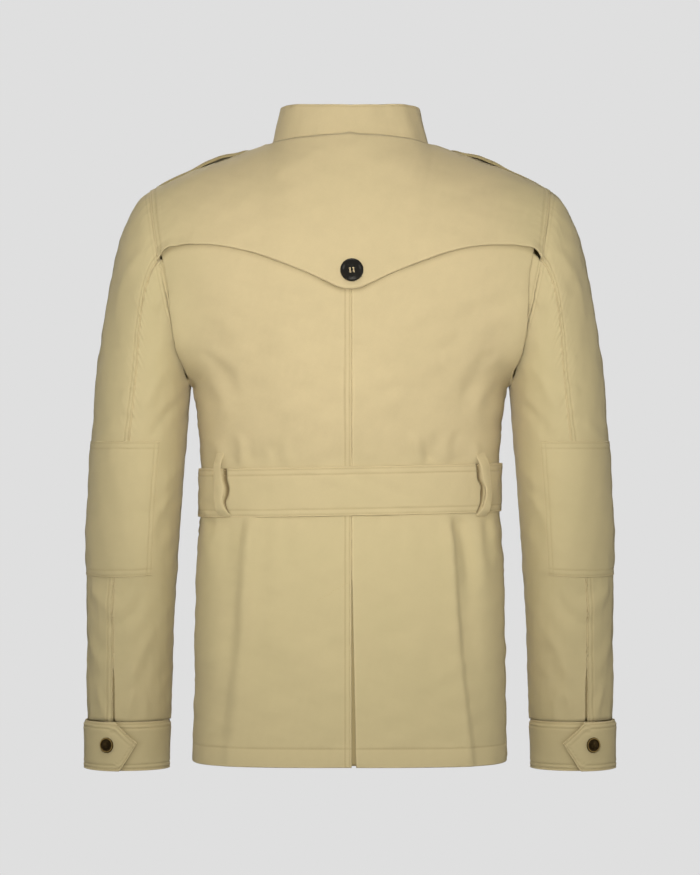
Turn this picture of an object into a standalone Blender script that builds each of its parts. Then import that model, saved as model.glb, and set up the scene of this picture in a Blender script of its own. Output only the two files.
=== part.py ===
"""Belted field jacket, hollow, in the shape it keeps when it is worn.

Lengths in the tables are millimetres and the scene is in metres. +Z is up, +X is the wearer's left,
the back faces +Y. The origin is the middle of the neck opening, level with the back of the collar seam,
where the shoulders of a wearer hold the jacket.

The body is one closed surface, cut into panels. A place on it has a face (back or front), a share
`across` from the middle (0) to the armhole or side seam (1), and a share `down`: 0 is the neck and
shoulder line, 1 the armpit, 2 the hem. A place on a sleeve has a share `along` from the armhole (0) to
the cuff (1), and a turn in degrees: 0 is the outer side, 90 the back, 180 the inner side.
"""

import math

import bmesh
import bpy
import numpy as np
from mathutils import Matrix, Vector

MM = 0.001
BACK = 1
FRONT = -1
LEFT = 1
RIGHT = -1
SIDES = (("left", LEFT), ("right", RIGHT))

# Driving sizes.
CLOTH = 2.0
SEAM_GAP = 0.2
NECK_HALF_WIDTH = 93.0
NECK_HALF_DEPTH = 73.0
NECK_ROUNDNESS = 2.2
SHOULDER_HALF_WIDTH = 228.0
SHOULDER_Z = -62.5
ARMPIT_HALF_WIDTH = 180.0
ARMPIT_Z = -284.0
ARMHOLE_HALF_DEPTH = 76.0
ARMHOLE_BULGE = 4.0
RIDGE_Y = -3.0
HEM_Z = -705.0
UPPER_ROUNDNESS = 2.5
SEAM_X = -2.0
NECK_ACROSS = NECK_HALF_WIDTH / SHOULDER_HALF_WIDTH

# Height at which the body is fullest, at the middle and at the armhole.
FULL_MIDDLE_Z = -150.0
FULL_ARMHOLE_Z = (SHOULDER_Z + ARMPIT_Z) / 2

# Top line of the body, front and back, as if the neck were not cut out, by the share across.
TOP_COLUMNS = ("across", "back_z", "front_z")
TOP_LINE = (
    (0.0, 49.8, -51.0),
    (0.175, 36.5, -36.0),
    (0.307, 14.0, -15.0),
    (0.408, -8.5, -9.0),
    (0.44, -11.4, -11.6),
    (0.522, -17.5, -17.5),
    (0.653, -27.5, -27.5),
    (0.772, -38.5, -38.5),
    (0.89, -49.5, -49.5),
    (1.0, SHOULDER_Z, SHOULDER_Z),
)
# How far the middle of the back and of the front lie from the shoulder line.
DEPTH_COLUMNS = ("drop", "back", "front")
DEPTH = (
    (150.0, 110.5, 112.0),
    (190.0, 112.0, 116.5),
    (235.0, 112.5, 119.0),
    (284.0, 111.0, 119.0),
    (310.0, 109.0, 118.0),
    (343.0, 104.0, 114.5),
    (372.0, 98.5, 110.5),
    (400.0, 96.0, 108.0),
    (428.0, 98.0, 109.0),
    (463.0, 104.5, 112.0),
    (520.0, 109.5, 115.5),
    (600.0, 113.5, 118.0),
    (660.0, 115.5, 118.5),
    (705.0, 116.5, 118.5),
)
# Sections below the armpit.
BODY_COLUMNS = ("drop", "half_width", "roundness")
BODY = (
    (284.0, 180.0, 2.5),
    (310.0, 174.5, 2.5),
    (343.0, 171.5, 2.5),
    (372.0, 169.5, 2.5),
    (400.0, 169.0, 2.55),
    (428.0, 170.5, 2.65),
    (463.0, 174.0, 2.8),
    (520.0, 175.5, 3.0),
    (600.0, 176.5, 3.2),
    (660.0, 177.5, 3.3),
    (705.0, 178.5, 3.4),
)
# Curved lower edge of the storm cape.
CAPE_COLUMNS = ("x", "drop")
CAPE_HEM = (
    (0.0, 176.0),
    (10.0, 175.0),
    (22.0, 170.0),
    (44.0, 159.5),
    (77.0, 146.5),
    (110.0, 135.0),
    (149.0, 127.5),
    (166.0, 126.5),
    (190.0, 127.5),
    (205.0, 132.5),
    (216.0, 146.0),
)
# Sleeve rings. Outer is the point away from the body, inner the point next to it.
SLEEVE_COLUMNS = ("along", "outer_x", "outer_drop", "inner_x", "inner_drop", "half_depth", "centre_y")
SLEEVE = (
    (0.00, 228.0, 60.5, 181.2, 284.5, 76.0, -3.0),
    (0.04, 240.0, 70.0, 181.4, 287.5, 77.0, -3.0),
    (0.08, 251.0, 89.0, 181.9, 291.5, 78.0, -3.0),
    (0.13, 260.5, 111.0, 182.6, 297.5, 78.5, -2.5),
    (0.20, 269.0, 143.0, 183.8, 309.0, 78.0, -2.0),
    (0.30, 277.5, 190.0, 185.8, 334.0, 76.0, 0.0),
    (0.40, 285.0, 244.0, 188.5, 371.0, 72.5, 3.0),
    (0.50, 291.0, 301.0, 191.8, 414.0, 68.0, 5.0),
    (0.60, 295.5, 359.0, 195.2, 460.0, 63.5, 4.0),
    (0.70, 299.0, 421.0, 198.2, 508.0, 59.0, 0.0),
    (0.80, 301.0, 490.0, 201.3, 556.0, 54.0, -8.0),
    (0.90, 301.5, 573.0, 203.6, 610.0, 49.0, -18.0),
    (1.00, 301.5, 662.4, 206.0, 662.4, 44.8, -28.5),
)
# Turn at which the back seam of the sleeve lies.
SLEEVE_SEAM_COLUMNS = ("along", "turn")
SLEEVE_SEAM = ((0.0, 75.0), (0.2, 80.0), (0.4, 84.0), (0.6, 80.0), (0.8, 72.0), (1.0, 72.0))
SLEEVE_FRONT_SEAM_TURN = 245.0
SLIT_TOP_DROP = 594.0
SLIT_WIDTH = 2.4
SLIT_RUN_OUT = 30.0
SLEEVE_MEAN_RADIUS = 50.0

PATCH_TOP_DROP = 344.0
PATCH_BOTTOM_DROP = 495.0
PATCH_INNER_TURN = 121.0
PATCH_OUTER_TURN = -14.0
PATCH_LIFT = 2.4
TRIM_THICKNESS = 1.4
PLACKET_LIFT = -3.8
PLACKET_TURNS = (60.0, 68.0, 76.0, 84.0)

CUFF_TOP_DROP = 663.0
CUFF_BOTTOM_DROP = 719.0
CUFF_THICKNESS = 2.2
CUFF_COLUMNS = ("drop", "centre_x", "half_width", "half_depth", "centre_y")
CUFF = (
    (663.0, 254.3, 48.8, 46.4, -28.5),
    (719.0, 255.2, 47.8, 45.0, -33.0),
)
CUFF_UNDER_END_TURN = 58.0
CUFF_TOP_CORNER_TURN = 436.5
CUFF_BOTTOM_CORNER_TURN = 443.0
CUFF_TIP_TURN = 464.5
CUFF_TIP_DROP = 687.0
CUFF_LAP = 3.1
CUFF_LAP_TURN = (300.0, 405.0)
CUFF_BUTTON_TURN = 426.7
CUFF_BUTTON_DROP = 688.5

COLLAR_THICKNESS = 2.2
COLLAR_SEAM_DEPTH = 3.0
COLLAR_FRONT_RISE = 3.4
COLLAR_BASE = (90.8, 69.6)
COLLAR_TOP = (79.5, 63.0)
COLLAR_END_ANGLE = 193.0
COLLAR_COLUMNS = ("angle", "top_z")
COLLAR_EDGE = (
    (0.0, 33.5),
    (28.0, 35.0),
    (60.0, 36.0),
    (90.0, 33.0),
    (120.0, 14.0),
    (150.0, -20.0),
    (180.0, -37.0),
    (200.0, -38.0),
)
# Turn over which the band comes forward to stand on the lapped front edges, and how far it comes.
COLLAR_FRONT_TURN = (120.0, 150.0)
COLLAR_END_TURN = (140.0, 164.0)
COLLAR_END_LIFT = 2.9

FRONT_LAP = 22.0
FRONT_LAP_LIFT = 2.9

BELT_MIDDLE_DROP = 399.5
BELT_WIDTH = 55.0
BELT_THICKNESS = 2.0
BELT_TILT = 0.009
BELT_GAP = 2.0
BELT_TIP_X = -92.0
BELT_TIP_HALF = 2.0
BELT_HUMP = 8.8

LOOP_WIDTH = 14.0
LOOP_X = (143.0, -150.0)
LOOP_LEAN = 0.72
LOOP_THICKNESS = 1.5
LOOP_CLEAR = BELT_GAP + BELT_THICKNESS + 2.4
LOOP_COLUMNS = ("drop", "lift")
LOOP = (
    (357.0, 2.9),
    (363.0, 3.2),
    (368.5, LOOP_CLEAR),
    (399.0, LOOP_CLEAR + 0.6),
    (431.0, LOOP_CLEAR),
    (436.0, 3.6),
    (441.0, 3.2),
)

STRAP_INNER_X = 108.0
STRAP_OUTER_X = 222.0
STRAP_WIDTH = 44.0
STRAP_MIDDLE_Y = -21.0
STRAP_THICKNESS = 1.8
STRAP_TIP_HALF = 3.0
STRAP_LIFT = 6.4
STRAP_CREST_Y = 2.0
STRAP_SAG = 0.0042
STRAP_FRONT_SHARE = 1.2

VENT_TOP_DROP = 494.0
VENT_GAP_AT_HEM = 4.5
VENT_UNDERLAY_WIDTH = 40.0
VENT_UNDERLAY_LIFT = -3.6
VENT_HIDDEN_ABOVE = 12.0
VENT_HEM_STEP = 2.0
UNDERLAY_THICKNESS = 1.6
# From the strip's hidden edge to its edge on the armhole seam.
PLEAT_UNDERLAY_LIFT = (-2.9, -2.9, -2.7, -0.2)
CAPE_LIFT = 2.8

SKIRT_FOLD_COLUMNS = ("drop", "x", "depth")
SKIRT_FOLD = (
    (284.0, 118.0, 0.0),
    (400.0, 112.0, 0.0),
    (428.0, 110.0, 2.0),
    (470.0, 112.0, 5.0),
    (600.0, 122.0, 4.5),
    (705.0, 134.0, 3.0),
)

# Half sections of the buttons, from the middle of the back to the middle of the face.
PROFILE_COLUMNS = ("radius", "height")
COAT_BUTTON = ((0, 0.6), (9, 0.6), (12, 1.4), (13, 2.8), (12.1, 4.2), (10.4, 4.4), (8.8, 3.5), (0, 3.3))
BRASS_BUTTON = (
    (0, 0.5),
    (2.2, 0.5),
    (2.4, 1.6),
    (7.4, 1.9),
    (8.8, 2.9),
    (8.0, 3.9),
    (6.8, 3.7),
    (4.3, 4.1),
    (0, 4.4),
)
HOLE_RADIUS = 1.1
HOLE_CIRCLE = 2.4
FRONT_BUTTON_DROPS = (112.0, 192.0, 272.0, 350.0, 476.0)
YOKE_BUTTON_DROP = 155.0

OLIVE_TAN = (0.60, 0.50, 0.29)
TAN_SHADE = (0.50, 0.41, 0.22)
BLACK = (0.012, 0.011, 0.009)
BRASS = (0.22, 0.15, 0.06)


def clear_scene():
    for item in list(bpy.data.objects):
        bpy.data.objects.remove(item, do_unlink=True)


def column(table, names, name, at):
    """One named column of a table, read at `at` of its first column on a smooth curve through its rows."""
    keys = np.array([row[0] for row in table])
    values = np.array([row[names.index(name)] for row in table])
    slopes = np.gradient(values, keys) if len(keys) > 2 else np.full(2, np.diff(values) / np.diff(keys))
    at = np.asarray(at, float)
    i = np.clip(np.searchsorted(keys, at) - 1, 0, len(keys) - 2)
    span = keys[i + 1] - keys[i]
    t = np.clip((at - keys[i]) / span, 0.0, 1.0)
    start = (1 + 2 * t) * (1 - t) ** 2 * values[i] + t * (1 - t) ** 2 * span * slopes[i]
    end = t * t * (3 - 2 * t) * values[i + 1] + t * t * (t - 1) * span * slopes[i + 1]
    return start + end


def ease(value, low, high):
    """0 below low, 1 above high, smooth between."""
    t = np.clip((np.asarray(value, float) - low) / (high - low), 0.0, 1.0)
    return t * t * (3 - 2 * t)


def armhole_half_width(turn):
    """Half the body's width at the armhole, from the shoulder point (turn 0) to the armpit (turn pi)."""
    middle = (SHOULDER_HALF_WIDTH + ARMPIT_HALF_WIDTH) / 2
    swing = (SHOULDER_HALF_WIDTH - ARMPIT_HALF_WIDTH) / 2
    return middle + swing * np.cos(turn) + ARMHOLE_BULGE * np.sin(turn) ** 2


def depth_at(face, drop):
    return column(DEPTH, DEPTH_COLUMNS, "back" if face == BACK else "front", drop)


def upper_body(face, across, down):
    """The body above the armpit: x, depth from the shoulder line, z."""
    turn = math.pi * np.clip(down, 0.0, 1.0)
    full_z = FULL_MIDDLE_Z + (FULL_ARMHOLE_Z - FULL_MIDDLE_Z) * across**2
    over = np.clip(np.cos(turn), 0.0, 1.0)
    under = np.clip(-np.cos(turn), 0.0, 1.0)
    top_z = column(TOP_LINE, TOP_COLUMNS, "back_z" if face == BACK else "front_z", across)
    z = full_z + (top_z - full_z) * over + (ARMPIT_Z - full_z) * under
    middle = depth_at(face, -(FULL_MIDDLE_Z + (ARMPIT_Z - FULL_MIDDLE_Z) * under))
    # The section through the armhole is an oval cut off where it meets the armhole.
    sweep = np.where(turn < math.pi / 2, 1.0, np.sin(turn))
    cut = ARMHOLE_HALF_DEPTH * sweep / middle
    bow = (1 - across**UPPER_ROUNDNESS * (1 - cut**UPPER_ROUNDNESS)) ** (1 / UPPER_ROUNDNESS)
    arch = np.where(turn < math.pi / 2, np.sin(turn), 1.0)
    return across * armhole_half_width(turn), middle * bow * arch, z


def neck_down(face, across):
    """The share down at which a column of the body starts: at the neck opening, or on the shoulder line."""
    share = np.abs(np.asarray(across, float))
    inside = np.clip(1 - (share / NECK_ACROSS) ** NECK_ROUNDNESS, 0.0, 1.0)
    ring = NECK_HALF_DEPTH * inside ** (1 / NECK_ROUNDNESS)
    _, full, _ = upper_body(face, share, 0.5)
    return np.arcsin(np.clip(ring / full, 0.0, 1.0)) / math.pi


def lower_body(face, across, down):
    """The body below the armpit: x, depth from the shoulder line, z."""
    z = ARMPIT_Z + (HEM_Z - ARMPIT_Z) * (down - 1)
    roundness = column(BODY, BODY_COLUMNS, "roundness", -z)
    bow = np.clip(1 - across**roundness, 0.0, 1.0) ** (1 / roundness)
    return across * column(BODY, BODY_COLUMNS, "half_width", -z), depth_at(face, -z) * bow, z


def body(face, across, down):
    """A place on the body's outer surface. A negative share across is the wearer's right."""
    across, down = np.broadcast_arrays(np.asarray(across, float), np.asarray(down, float))
    share = np.abs(across)
    x, depth, z = upper_body(face, share, np.minimum(down, 1.0))
    low_x, low_depth, low_z = lower_body(face, share, np.maximum(down, 1.0))
    upper = down <= 1.0
    x = np.where(upper, x, low_x)
    y = RIDGE_Y + face * (np.where(upper, depth, low_depth) + SEAM_GAP)
    return np.stack([np.where(across < 0, -x, x), y, np.where(upper, z, low_z)], -1)


def body_down(z):
    """The share down of a height below the armpit."""
    return 1 + (z - ARMPIT_Z) / (HEM_Z - ARMPIT_Z)


def sleeve(along, turn_degrees):
    """A place on the left sleeve's outer surface."""
    along, turn = np.broadcast_arrays(np.asarray(along, float), np.radians(turn_degrees))
    ring = {name: column(SLEEVE, SLEEVE_COLUMNS, name, along) for name in SLEEVE_COLUMNS[1:]}
    middle_x = (ring["outer_x"] + ring["inner_x"]) / 2
    swing_x = (ring["outer_x"] - ring["inner_x"]) / 2
    middle_z = -(ring["outer_drop"] + ring["inner_drop"]) / 2
    swing_z = (ring["inner_drop"] - ring["outer_drop"]) / 2
    bulge = ARMHOLE_BULGE * np.sin(turn) ** 2 * np.clip(1 - along / 0.2, 0.0, 1.0)
    x = middle_x + swing_x * np.cos(turn) + bulge
    y = ring["centre_y"] + ring["half_depth"] * np.sin(turn)
    return np.stack([x, y, middle_z + swing_z * np.cos(turn)], -1)


def along_at(turn_degrees, drop):
    """The share along the sleeve at which the given turn reaches the given drop."""
    steps = np.linspace(0.0, 1.0, 201)
    return float(np.interp(drop, -sleeve(steps, turn_degrees)[:, 2], steps))


def cuff(turn_degrees, drop):
    """A place on the left cuff's outer surface."""
    turn = np.radians(turn_degrees)
    ring = {name: column(CUFF, CUFF_COLUMNS, name, drop) for name in CUFF_COLUMNS[1:]}
    x = ring["centre_x"] + ring["half_width"] * np.cos(turn)
    y = ring["centre_y"] + ring["half_depth"] * np.sin(turn)
    return np.stack(np.broadcast_arrays(x, y, -np.asarray(drop, float)), -1)


def collar(angle_degrees, rise):
    """A place on the collar: angle 0 is the back, 180 the front; rise 0 is the seam, 1 the top edge."""
    angle = np.radians(angle_degrees)
    half_width = COLLAR_BASE[0] + (COLLAR_TOP[0] - COLLAR_BASE[0]) * rise
    half_depth = COLLAR_BASE[1] + (COLLAR_TOP[1] - COLLAR_BASE[1]) * rise
    power = 2 / NECK_ROUNDNESS
    x = half_width * np.sign(np.sin(angle)) * np.abs(np.sin(angle)) ** power
    y = RIDGE_Y + half_depth * np.sign(np.cos(angle)) * np.abs(np.cos(angle)) ** power
    share = np.abs(np.sin(angle)) ** power * NECK_ACROSS
    back_z = body(BACK, share, neck_down(BACK, share))[..., 2]
    front_z = body(FRONT, share, neck_down(FRONT, share))[..., 2]
    # Behind, the band is set inside the neck edge; in front it stands on the lapped edges.
    raised = (COLLAR_SEAM_DEPTH + COLLAR_FRONT_RISE) * ease(np.abs(angle_degrees), *COLLAR_FRONT_TURN)
    sunk = COLLAR_SEAM_DEPTH - raised
    base_z = np.where(np.cos(angle) >= 0, back_z, front_z) - sunk
    top_z = column(COLLAR_EDGE, COLLAR_COLUMNS, "top_z", np.abs(angle_degrees))
    return np.stack(np.broadcast_arrays(x, y, base_z + (top_z - base_z) * rise), -1)


def facing(place, first, second, first_range, second_range, away_from):
    """Points of a surface and its unit normals, turned away from a middle line."""
    step = 0.002
    first, second = np.broadcast_arrays(np.asarray(first, float), np.asarray(second, float))
    one = np.clip(first + step * first_range[2], *first_range[:2])
    two = np.clip(first - step * first_range[2], *first_range[:2])
    three = np.clip(second + step * second_range[2], *second_range[:2])
    four = np.clip(second - step * second_range[2], *second_range[:2])
    normal = np.cross(place(one, second) - place(two, second), place(first, three) - place(first, four))
    length = np.linalg.norm(normal, axis=-1, keepdims=True)
    normal = normal / np.maximum(length, 1e-9)
    points = place(first, second)
    flip = np.sign((normal * (points - away_from(points))).sum(-1, keepdims=True))
    return points, normal * np.where(flip == 0, 1, flip)


def body_facing(face, across, down):
    def spine(points):
        middle = points.copy()
        middle[..., 0] *= 0.6
        middle[..., 1] = RIDGE_Y
        middle[..., 2] = np.minimum(points[..., 2], -40.0) - 20.0 * (points[..., 2] > ARMPIT_Z)
        return middle

    def place(share, drop):
        return body(face, share, drop)

    return facing(place, across, down, (-1.0, 1.0, 0.5), (0.0, 2.0, 4.0), spine)


def sleeve_facing(along, turn):
    def bone(points):
        middle = points.copy()
        middle[..., 0] = np.interp(-points[..., 2], (60.0, 290.0, 400.0, 665.0), (195.0, 232.0, 245.0, 254.0))
        middle[..., 1] = np.interp(-points[..., 2], (60.0, 400.0, 665.0), (-3.0, 4.0, -28.5))
        middle[..., 2] = np.minimum(points[..., 2], -120.0)
        return middle

    return facing(sleeve, along, turn, (0.0, 1.0, 1.0), (-400.0, 500.0, 100.0), bone)


def cuff_facing(turn, drop):
    def bone(points):
        middle = points.copy()
        middle[..., 0] = CUFF[0][1]
        middle[..., 1] = CUFF[0][4]
        return middle

    return facing(cuff, turn, drop, (0.0, 500.0, 100.0), (CUFF_TOP_DROP, CUFF_BOTTOM_DROP, 100.0), bone)


def collar_facing(angle, rise):
    def axis(points):
        middle = points.copy()
        middle[..., 0] = 0.0
        middle[..., 1] = RIDGE_Y
        return middle

    return facing(collar, angle, rise, (-200.0, 200.0, 100.0), (0.0, 1.0, 10.0), axis)


def material(name, colour, roughness, metallic=0.0):
    finish = bpy.data.materials.new(name)
    finish.use_nodes = True
    surface = finish.node_tree.nodes["Principled BSDF"]
    surface.inputs["Base Color"].default_value = (*colour, 1.0)
    surface.inputs["Roughness"].default_value = roughness
    surface.inputs["Metallic"].default_value = metallic
    finish.diffuse_color = (*colour, 1.0)
    return finish


def finish_object(name, bm, colour, roughness, metallic=0.0, smooth_angle=40.0):
    bmesh.ops.recalc_face_normals(bm, faces=bm.faces)
    if bm.calc_volume(signed=True) < 0:
        bmesh.ops.reverse_faces(bm, faces=bm.faces)
    mesh = bpy.data.meshes.new(name)
    bm.to_mesh(mesh)
    bm.free()
    mesh.shade_smooth()
    mesh.set_sharp_from_angle(angle=math.radians(smooth_angle))
    made = bpy.data.objects.new(name, mesh)
    made.data.materials.append(material(name, colour, roughness, metallic))
    bpy.context.scene.collection.objects.link(made)
    return made


def cloth(name, side, points, normals, lift=0.0, thickness=CLOTH, colour=OLIVE_TAN):
    """A closed wall of cloth: a grid laid on the points and thickened inward along their normals."""
    rows, columns = points.shape[:2]
    outer = points + normals * np.asarray(lift, float)[..., None]
    inner = outer - normals * thickness
    bm = bmesh.new()
    row_of = bm.verts.layers.int.new("row")
    column_of = bm.verts.layers.int.new("column")
    grid = bmesh.ops.create_grid(bm, x_segments=columns - 1, y_segments=rows - 1, size=1.0)["verts"]
    for index, vert in enumerate(grid):
        vert[row_of], vert[column_of] = divmod(index, columns)
    walls = bmesh.ops.extrude_face_region(bm, geom=bm.faces[:], use_keep_orig=True)["geom"]
    inside = {item for item in walls if isinstance(item, bmesh.types.BMVert)}
    for vert in bm.verts:
        source = inner if vert in inside else outer
        x, y, z = source[vert[row_of], vert[column_of]] * MM
        vert.co = (x * side, y, z)
    bmesh.ops.triangulate(bm, faces=bm.faces[:], quad_method="SHORT_EDGE")
    return finish_object(name, bm, colour, 0.85)


def grid_of(rows, columns):
    return np.meshgrid(np.asarray(rows, float), np.asarray(columns, float), indexing="ij")


# Rows of the body: 0 the neck and shoulder line, 1 the cape's hem line, 2 the armpit, 3 the hem.
CAPE_ROWS = np.linspace(0.0, 1.0, 7)
SIDE_ROWS = np.array([1.2, 1.4, 1.6, 1.8, 2.0])
LOWER_DROPS = (310.0, 343.0, 372.0, 400.0, 428.0, 463.0, 530.0, 615.0, 705.0)
LOWER_ROWS = 1 + body_down(-np.array(LOWER_DROPS))
BODY_ROWS = np.concatenate([CAPE_ROWS, SIDE_ROWS, LOWER_ROWS])
NECK_SHARES = (0.14, 0.25, 0.33, 0.385, NECK_ACROSS)


def cape_hem_down(across):
    """The share down at which the curved hem of the cape crosses a share across."""
    share = np.abs(np.asarray(across, float))
    low, high = np.full(share.shape, 0.2), np.full(share.shape, 0.9)
    for _ in range(40):
        middle = (low + high) / 2
        place = body(BACK, share, middle)
        above = -place[..., 2] < column(CAPE_HEM, CAPE_COLUMNS, "drop", place[..., 0])
        low, high = np.where(above, middle, low), np.where(above, high, middle)
    return low


def row_down(face, across, row):
    """The share down of a row where it crosses a share across."""
    start, hem = neck_down(face, across), cape_hem_down(across)
    on_cape = start + (hem - start) * np.clip(row, 0.0, 1.0)
    return on_cape + (1 - hem) * np.clip(row - 1, 0.0, 1.0) + np.maximum(row - 2, 0.0)


def fold_share(drop):
    """Where the skirt fold lies, as a share across, and how deep it is."""
    width = column(BODY, BODY_COLUMNS, "half_width", drop)
    share = column(SKIRT_FOLD, SKIRT_FOLD_COLUMNS, "x", drop) / width
    return float(share), float(column(SKIRT_FOLD, SKIRT_FOLD_COLUMNS, "depth", drop))


def pleat_edge(side, down):
    """Share across at which the back panel's folded edge lies, and how proud it stands."""
    turn = 180.0 * min(down, 1.0)
    reach = (4.0, 1.5) if side == LEFT else (10.0, 2.0)
    inset = reach[0] + (reach[1] - reach[0]) * float(ease(turn, 80.0, 125.0))
    inset *= 1 - float(ease(turn, 140.0, 180.0))
    width = float(armhole_half_width(math.radians(turn)))
    proud = 7.0 * float(ease(turn, 82.0, 118.0)) * (1 - float(ease(turn, 125.0, 165.0)))
    return 1 - inset / width, proud


def row_height(down):
    """The height of a share down below the armpit."""
    return ARMPIT_Z + (HEM_Z - ARMPIT_Z) * (down - 1)


def row_width(down):
    """Half the body's width at a share down."""
    if down <= 1:
        return float(armhole_half_width(math.pi * down))
    return float(column(BODY, BODY_COLUMNS, "half_width", -row_height(down)))


def vent_edge(side, down):
    """X of a back panel's middle edge: on the centre seam, then at the vent."""
    z = row_height(down)
    opening = VENT_GAP_AT_HEM * float(np.clip((-z - VENT_TOP_DROP) / (-HEM_Z - VENT_TOP_DROP), 0.0, 1.0))
    return SEAM_X + (SEAM_GAP if side == LEFT else -SEAM_GAP - opening)


def back_panel(name, side):
    across, lift = [], []
    for row in BODY_ROWS:
        down = max(row - 1, 0.0)
        armhole_down = float(row_down(BACK, 1.0, row))
        edge, proud = pleat_edge(side, armhole_down) if row < 2 else (1.0, 0.0)
        fold, depth = fold_share(-row_height(down)) if row > 2 else (0.66, 0.0)
        step = 0.035 if row > 2 else 0.1
        start = side * vent_edge(side, down) / row_width(armhole_down)
        across.append([start, *NECK_SHARES, 0.52, fold, fold + step, 0.86, (0.88 + edge) / 2, edge])
        folded = [0.1 * depth, 0.2 * depth, 0.4 * depth, -depth, -0.6 * depth]
        lift.append([0, 0, 0, 0, 0, *folded, 0.5 * proud, proud])
    across = np.array(across)
    points, normals = body_facing(BACK, across, row_down(BACK, across, BODY_ROWS[:, None]))
    return cloth(name, side, points, normals, np.array(lift, float))


def pleat_underlay(name, side):
    """The strip behind the back panel's folded edge, down to the armhole seam."""
    rows = np.array([1.0, 1.2, 1.4, 1.6, 1.66])
    downs = row_down(BACK, 1.0, rows)
    edges = np.array([pleat_edge(side, down)[0] for down in downs])
    fold = np.minimum(edges + 0.004, 0.993)
    across = np.stack([np.full(len(rows), 0.86), (0.88 + edges) / 2, fold, np.full(len(rows), 0.9965)], 1)
    lift = np.tile(PLEAT_UNDERLAY_LIFT, (len(rows), 1))
    points, normals = body_facing(BACK, across, row_down(BACK, across, rows[:, None]))
    return cloth(name, side, points, normals, lift, thickness=UNDERLAY_THICKNESS, colour=TAN_SHADE)


def cape(name):
    half = np.array([0.0, *NECK_SHARES, 0.52, 0.66, 0.76, 0.86, 0.93, 0.996])
    across = np.concatenate([-half[:0:-1], half])[None, :]
    downs = row_down(BACK, across, CAPE_ROWS[:, None])
    points, normals = body_facing(BACK, np.broadcast_to(across, downs.shape), downs)
    return cloth(name, LEFT, points, normals, np.full(downs.shape, CAPE_LIFT))


def vent_underlay(name):
    downs = body_down(-np.linspace(VENT_TOP_DROP - VENT_HIDDEN_ABOVE, -HEM_Z - VENT_HEM_STEP, 6))
    x = np.linspace(SEAM_X - VENT_UNDERLAY_WIDTH / 2, SEAM_X + VENT_UNDERLAY_WIDTH / 2, 4)
    across = x[None, :] / np.array([row_width(down) for down in downs])[:, None]
    points, normals = body_facing(BACK, across, downs[:, None])
    lift = np.full(across.shape, VENT_UNDERLAY_LIFT)
    return cloth(name, LEFT, points, normals, lift, thickness=UNDERLAY_THICKNESS, colour=TAN_SHADE)


def front_panel(name, side):
    across, lift = [], []
    for row in BODY_ROWS:
        down = float(row_down(FRONT, 1.0, row))
        lap = FRONT_LAP / row_width(down)
        edge = 1 - 0.004 * math.sin(math.pi * min(down, 1.0))
        across.append([-lap, 0.0, *NECK_SHARES, 0.54, 0.68, 0.80, 0.90, (0.9 + edge) / 2, edge])
        top = FRONT_LAP_LIFT if side == LEFT else 0.0
        lift.append([top, top, top, 0.55 * top, 0.2 * top, 0, 0, 0, 0, 0, 0, 0, 0])
    across = np.array(across)
    points, normals = body_facing(FRONT, across, row_down(FRONT, across, BODY_ROWS[:, None]))
    return cloth(name, side, points, normals, np.array(lift, float))


def collar_band(name):
    angle = np.linspace(-COLLAR_END_ANGLE, COLLAR_END_ANGLE, 33)
    rise, angles = grid_of([0.0, 0.5, 1.0], angle)
    points, normals = collar_facing(angles, rise)
    lift = COLLAR_END_LIFT * ease(angles, *COLLAR_END_TURN)
    return cloth(name, LEFT, points, normals, lift, thickness=COLLAR_THICKNESS)


def strap_height(x, y):
    """The strap bridges the shoulder: it lies on the cape behind and falls a little towards the front."""
    ridge = column(TOP_LINE, TOP_COLUMNS, "back_z", x / SHOULDER_HALF_WIDTH)
    sag = STRAP_SAG * (y - STRAP_CREST_Y) ** 2
    return ridge + STRAP_LIFT - np.where(y < STRAP_CREST_Y, STRAP_FRONT_SHARE * sag, sag)


def shoulder_strap(name, side):
    """A strap laid along the shoulder, square at the armhole and pointed towards the neck."""
    half = STRAP_WIDTH / 2
    x = np.array([STRAP_OUTER_X, 200.0, 175.0, 150.0, STRAP_INNER_X + 15.0, STRAP_INNER_X])
    reach = np.array([half, half, half, half, half, STRAP_TIP_HALF])
    ys = STRAP_MIDDLE_Y + reach[:, None] * np.linspace(-1.0, 1.0, 5)[None, :]
    xs = np.broadcast_to(x[:, None], ys.shape)
    points = np.stack([xs, ys, strap_height(xs, ys)], -1)
    normals = np.zeros(points.shape)
    normals[..., 2] = 1.0
    return cloth(name, side, points, normals, np.zeros(ys.shape), thickness=STRAP_THICKNESS)


SLEEVE_ROWS = np.array([0.004, 0.04, 0.08, 0.13, 0.20, 0.30, 0.40, 0.50, 0.60, 0.70, 0.80, 0.86, 0.93, 1.0])


def slit(along):
    """Half the opening, in degrees of turn, between the two halves of the sleeve at their back seam."""
    drop = -sleeve(along, 72.0)[..., 2]
    width = SEAM_GAP + SLIT_WIDTH / 2 * ease(drop, SLIT_TOP_DROP, SLIT_TOP_DROP + SLIT_RUN_OUT)
    return np.degrees(width / SLEEVE_MEAN_RADIUS)


def sleeve_top(name, side):
    along = SLEEVE_ROWS
    seam = column(SLEEVE_SEAM, SLEEVE_SEAM_COLUMNS, "turn", along) - slit(along)
    start = SLEEVE_FRONT_SEAM_TURN - 360.0 + 0.25
    turns = start + (seam - start)[:, None] * np.linspace(0.0, 1.0, 10)[None, :]
    points, normals = sleeve_facing(along[:, None], turns)
    return cloth(name, side, points, normals, np.zeros(turns.shape))


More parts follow.
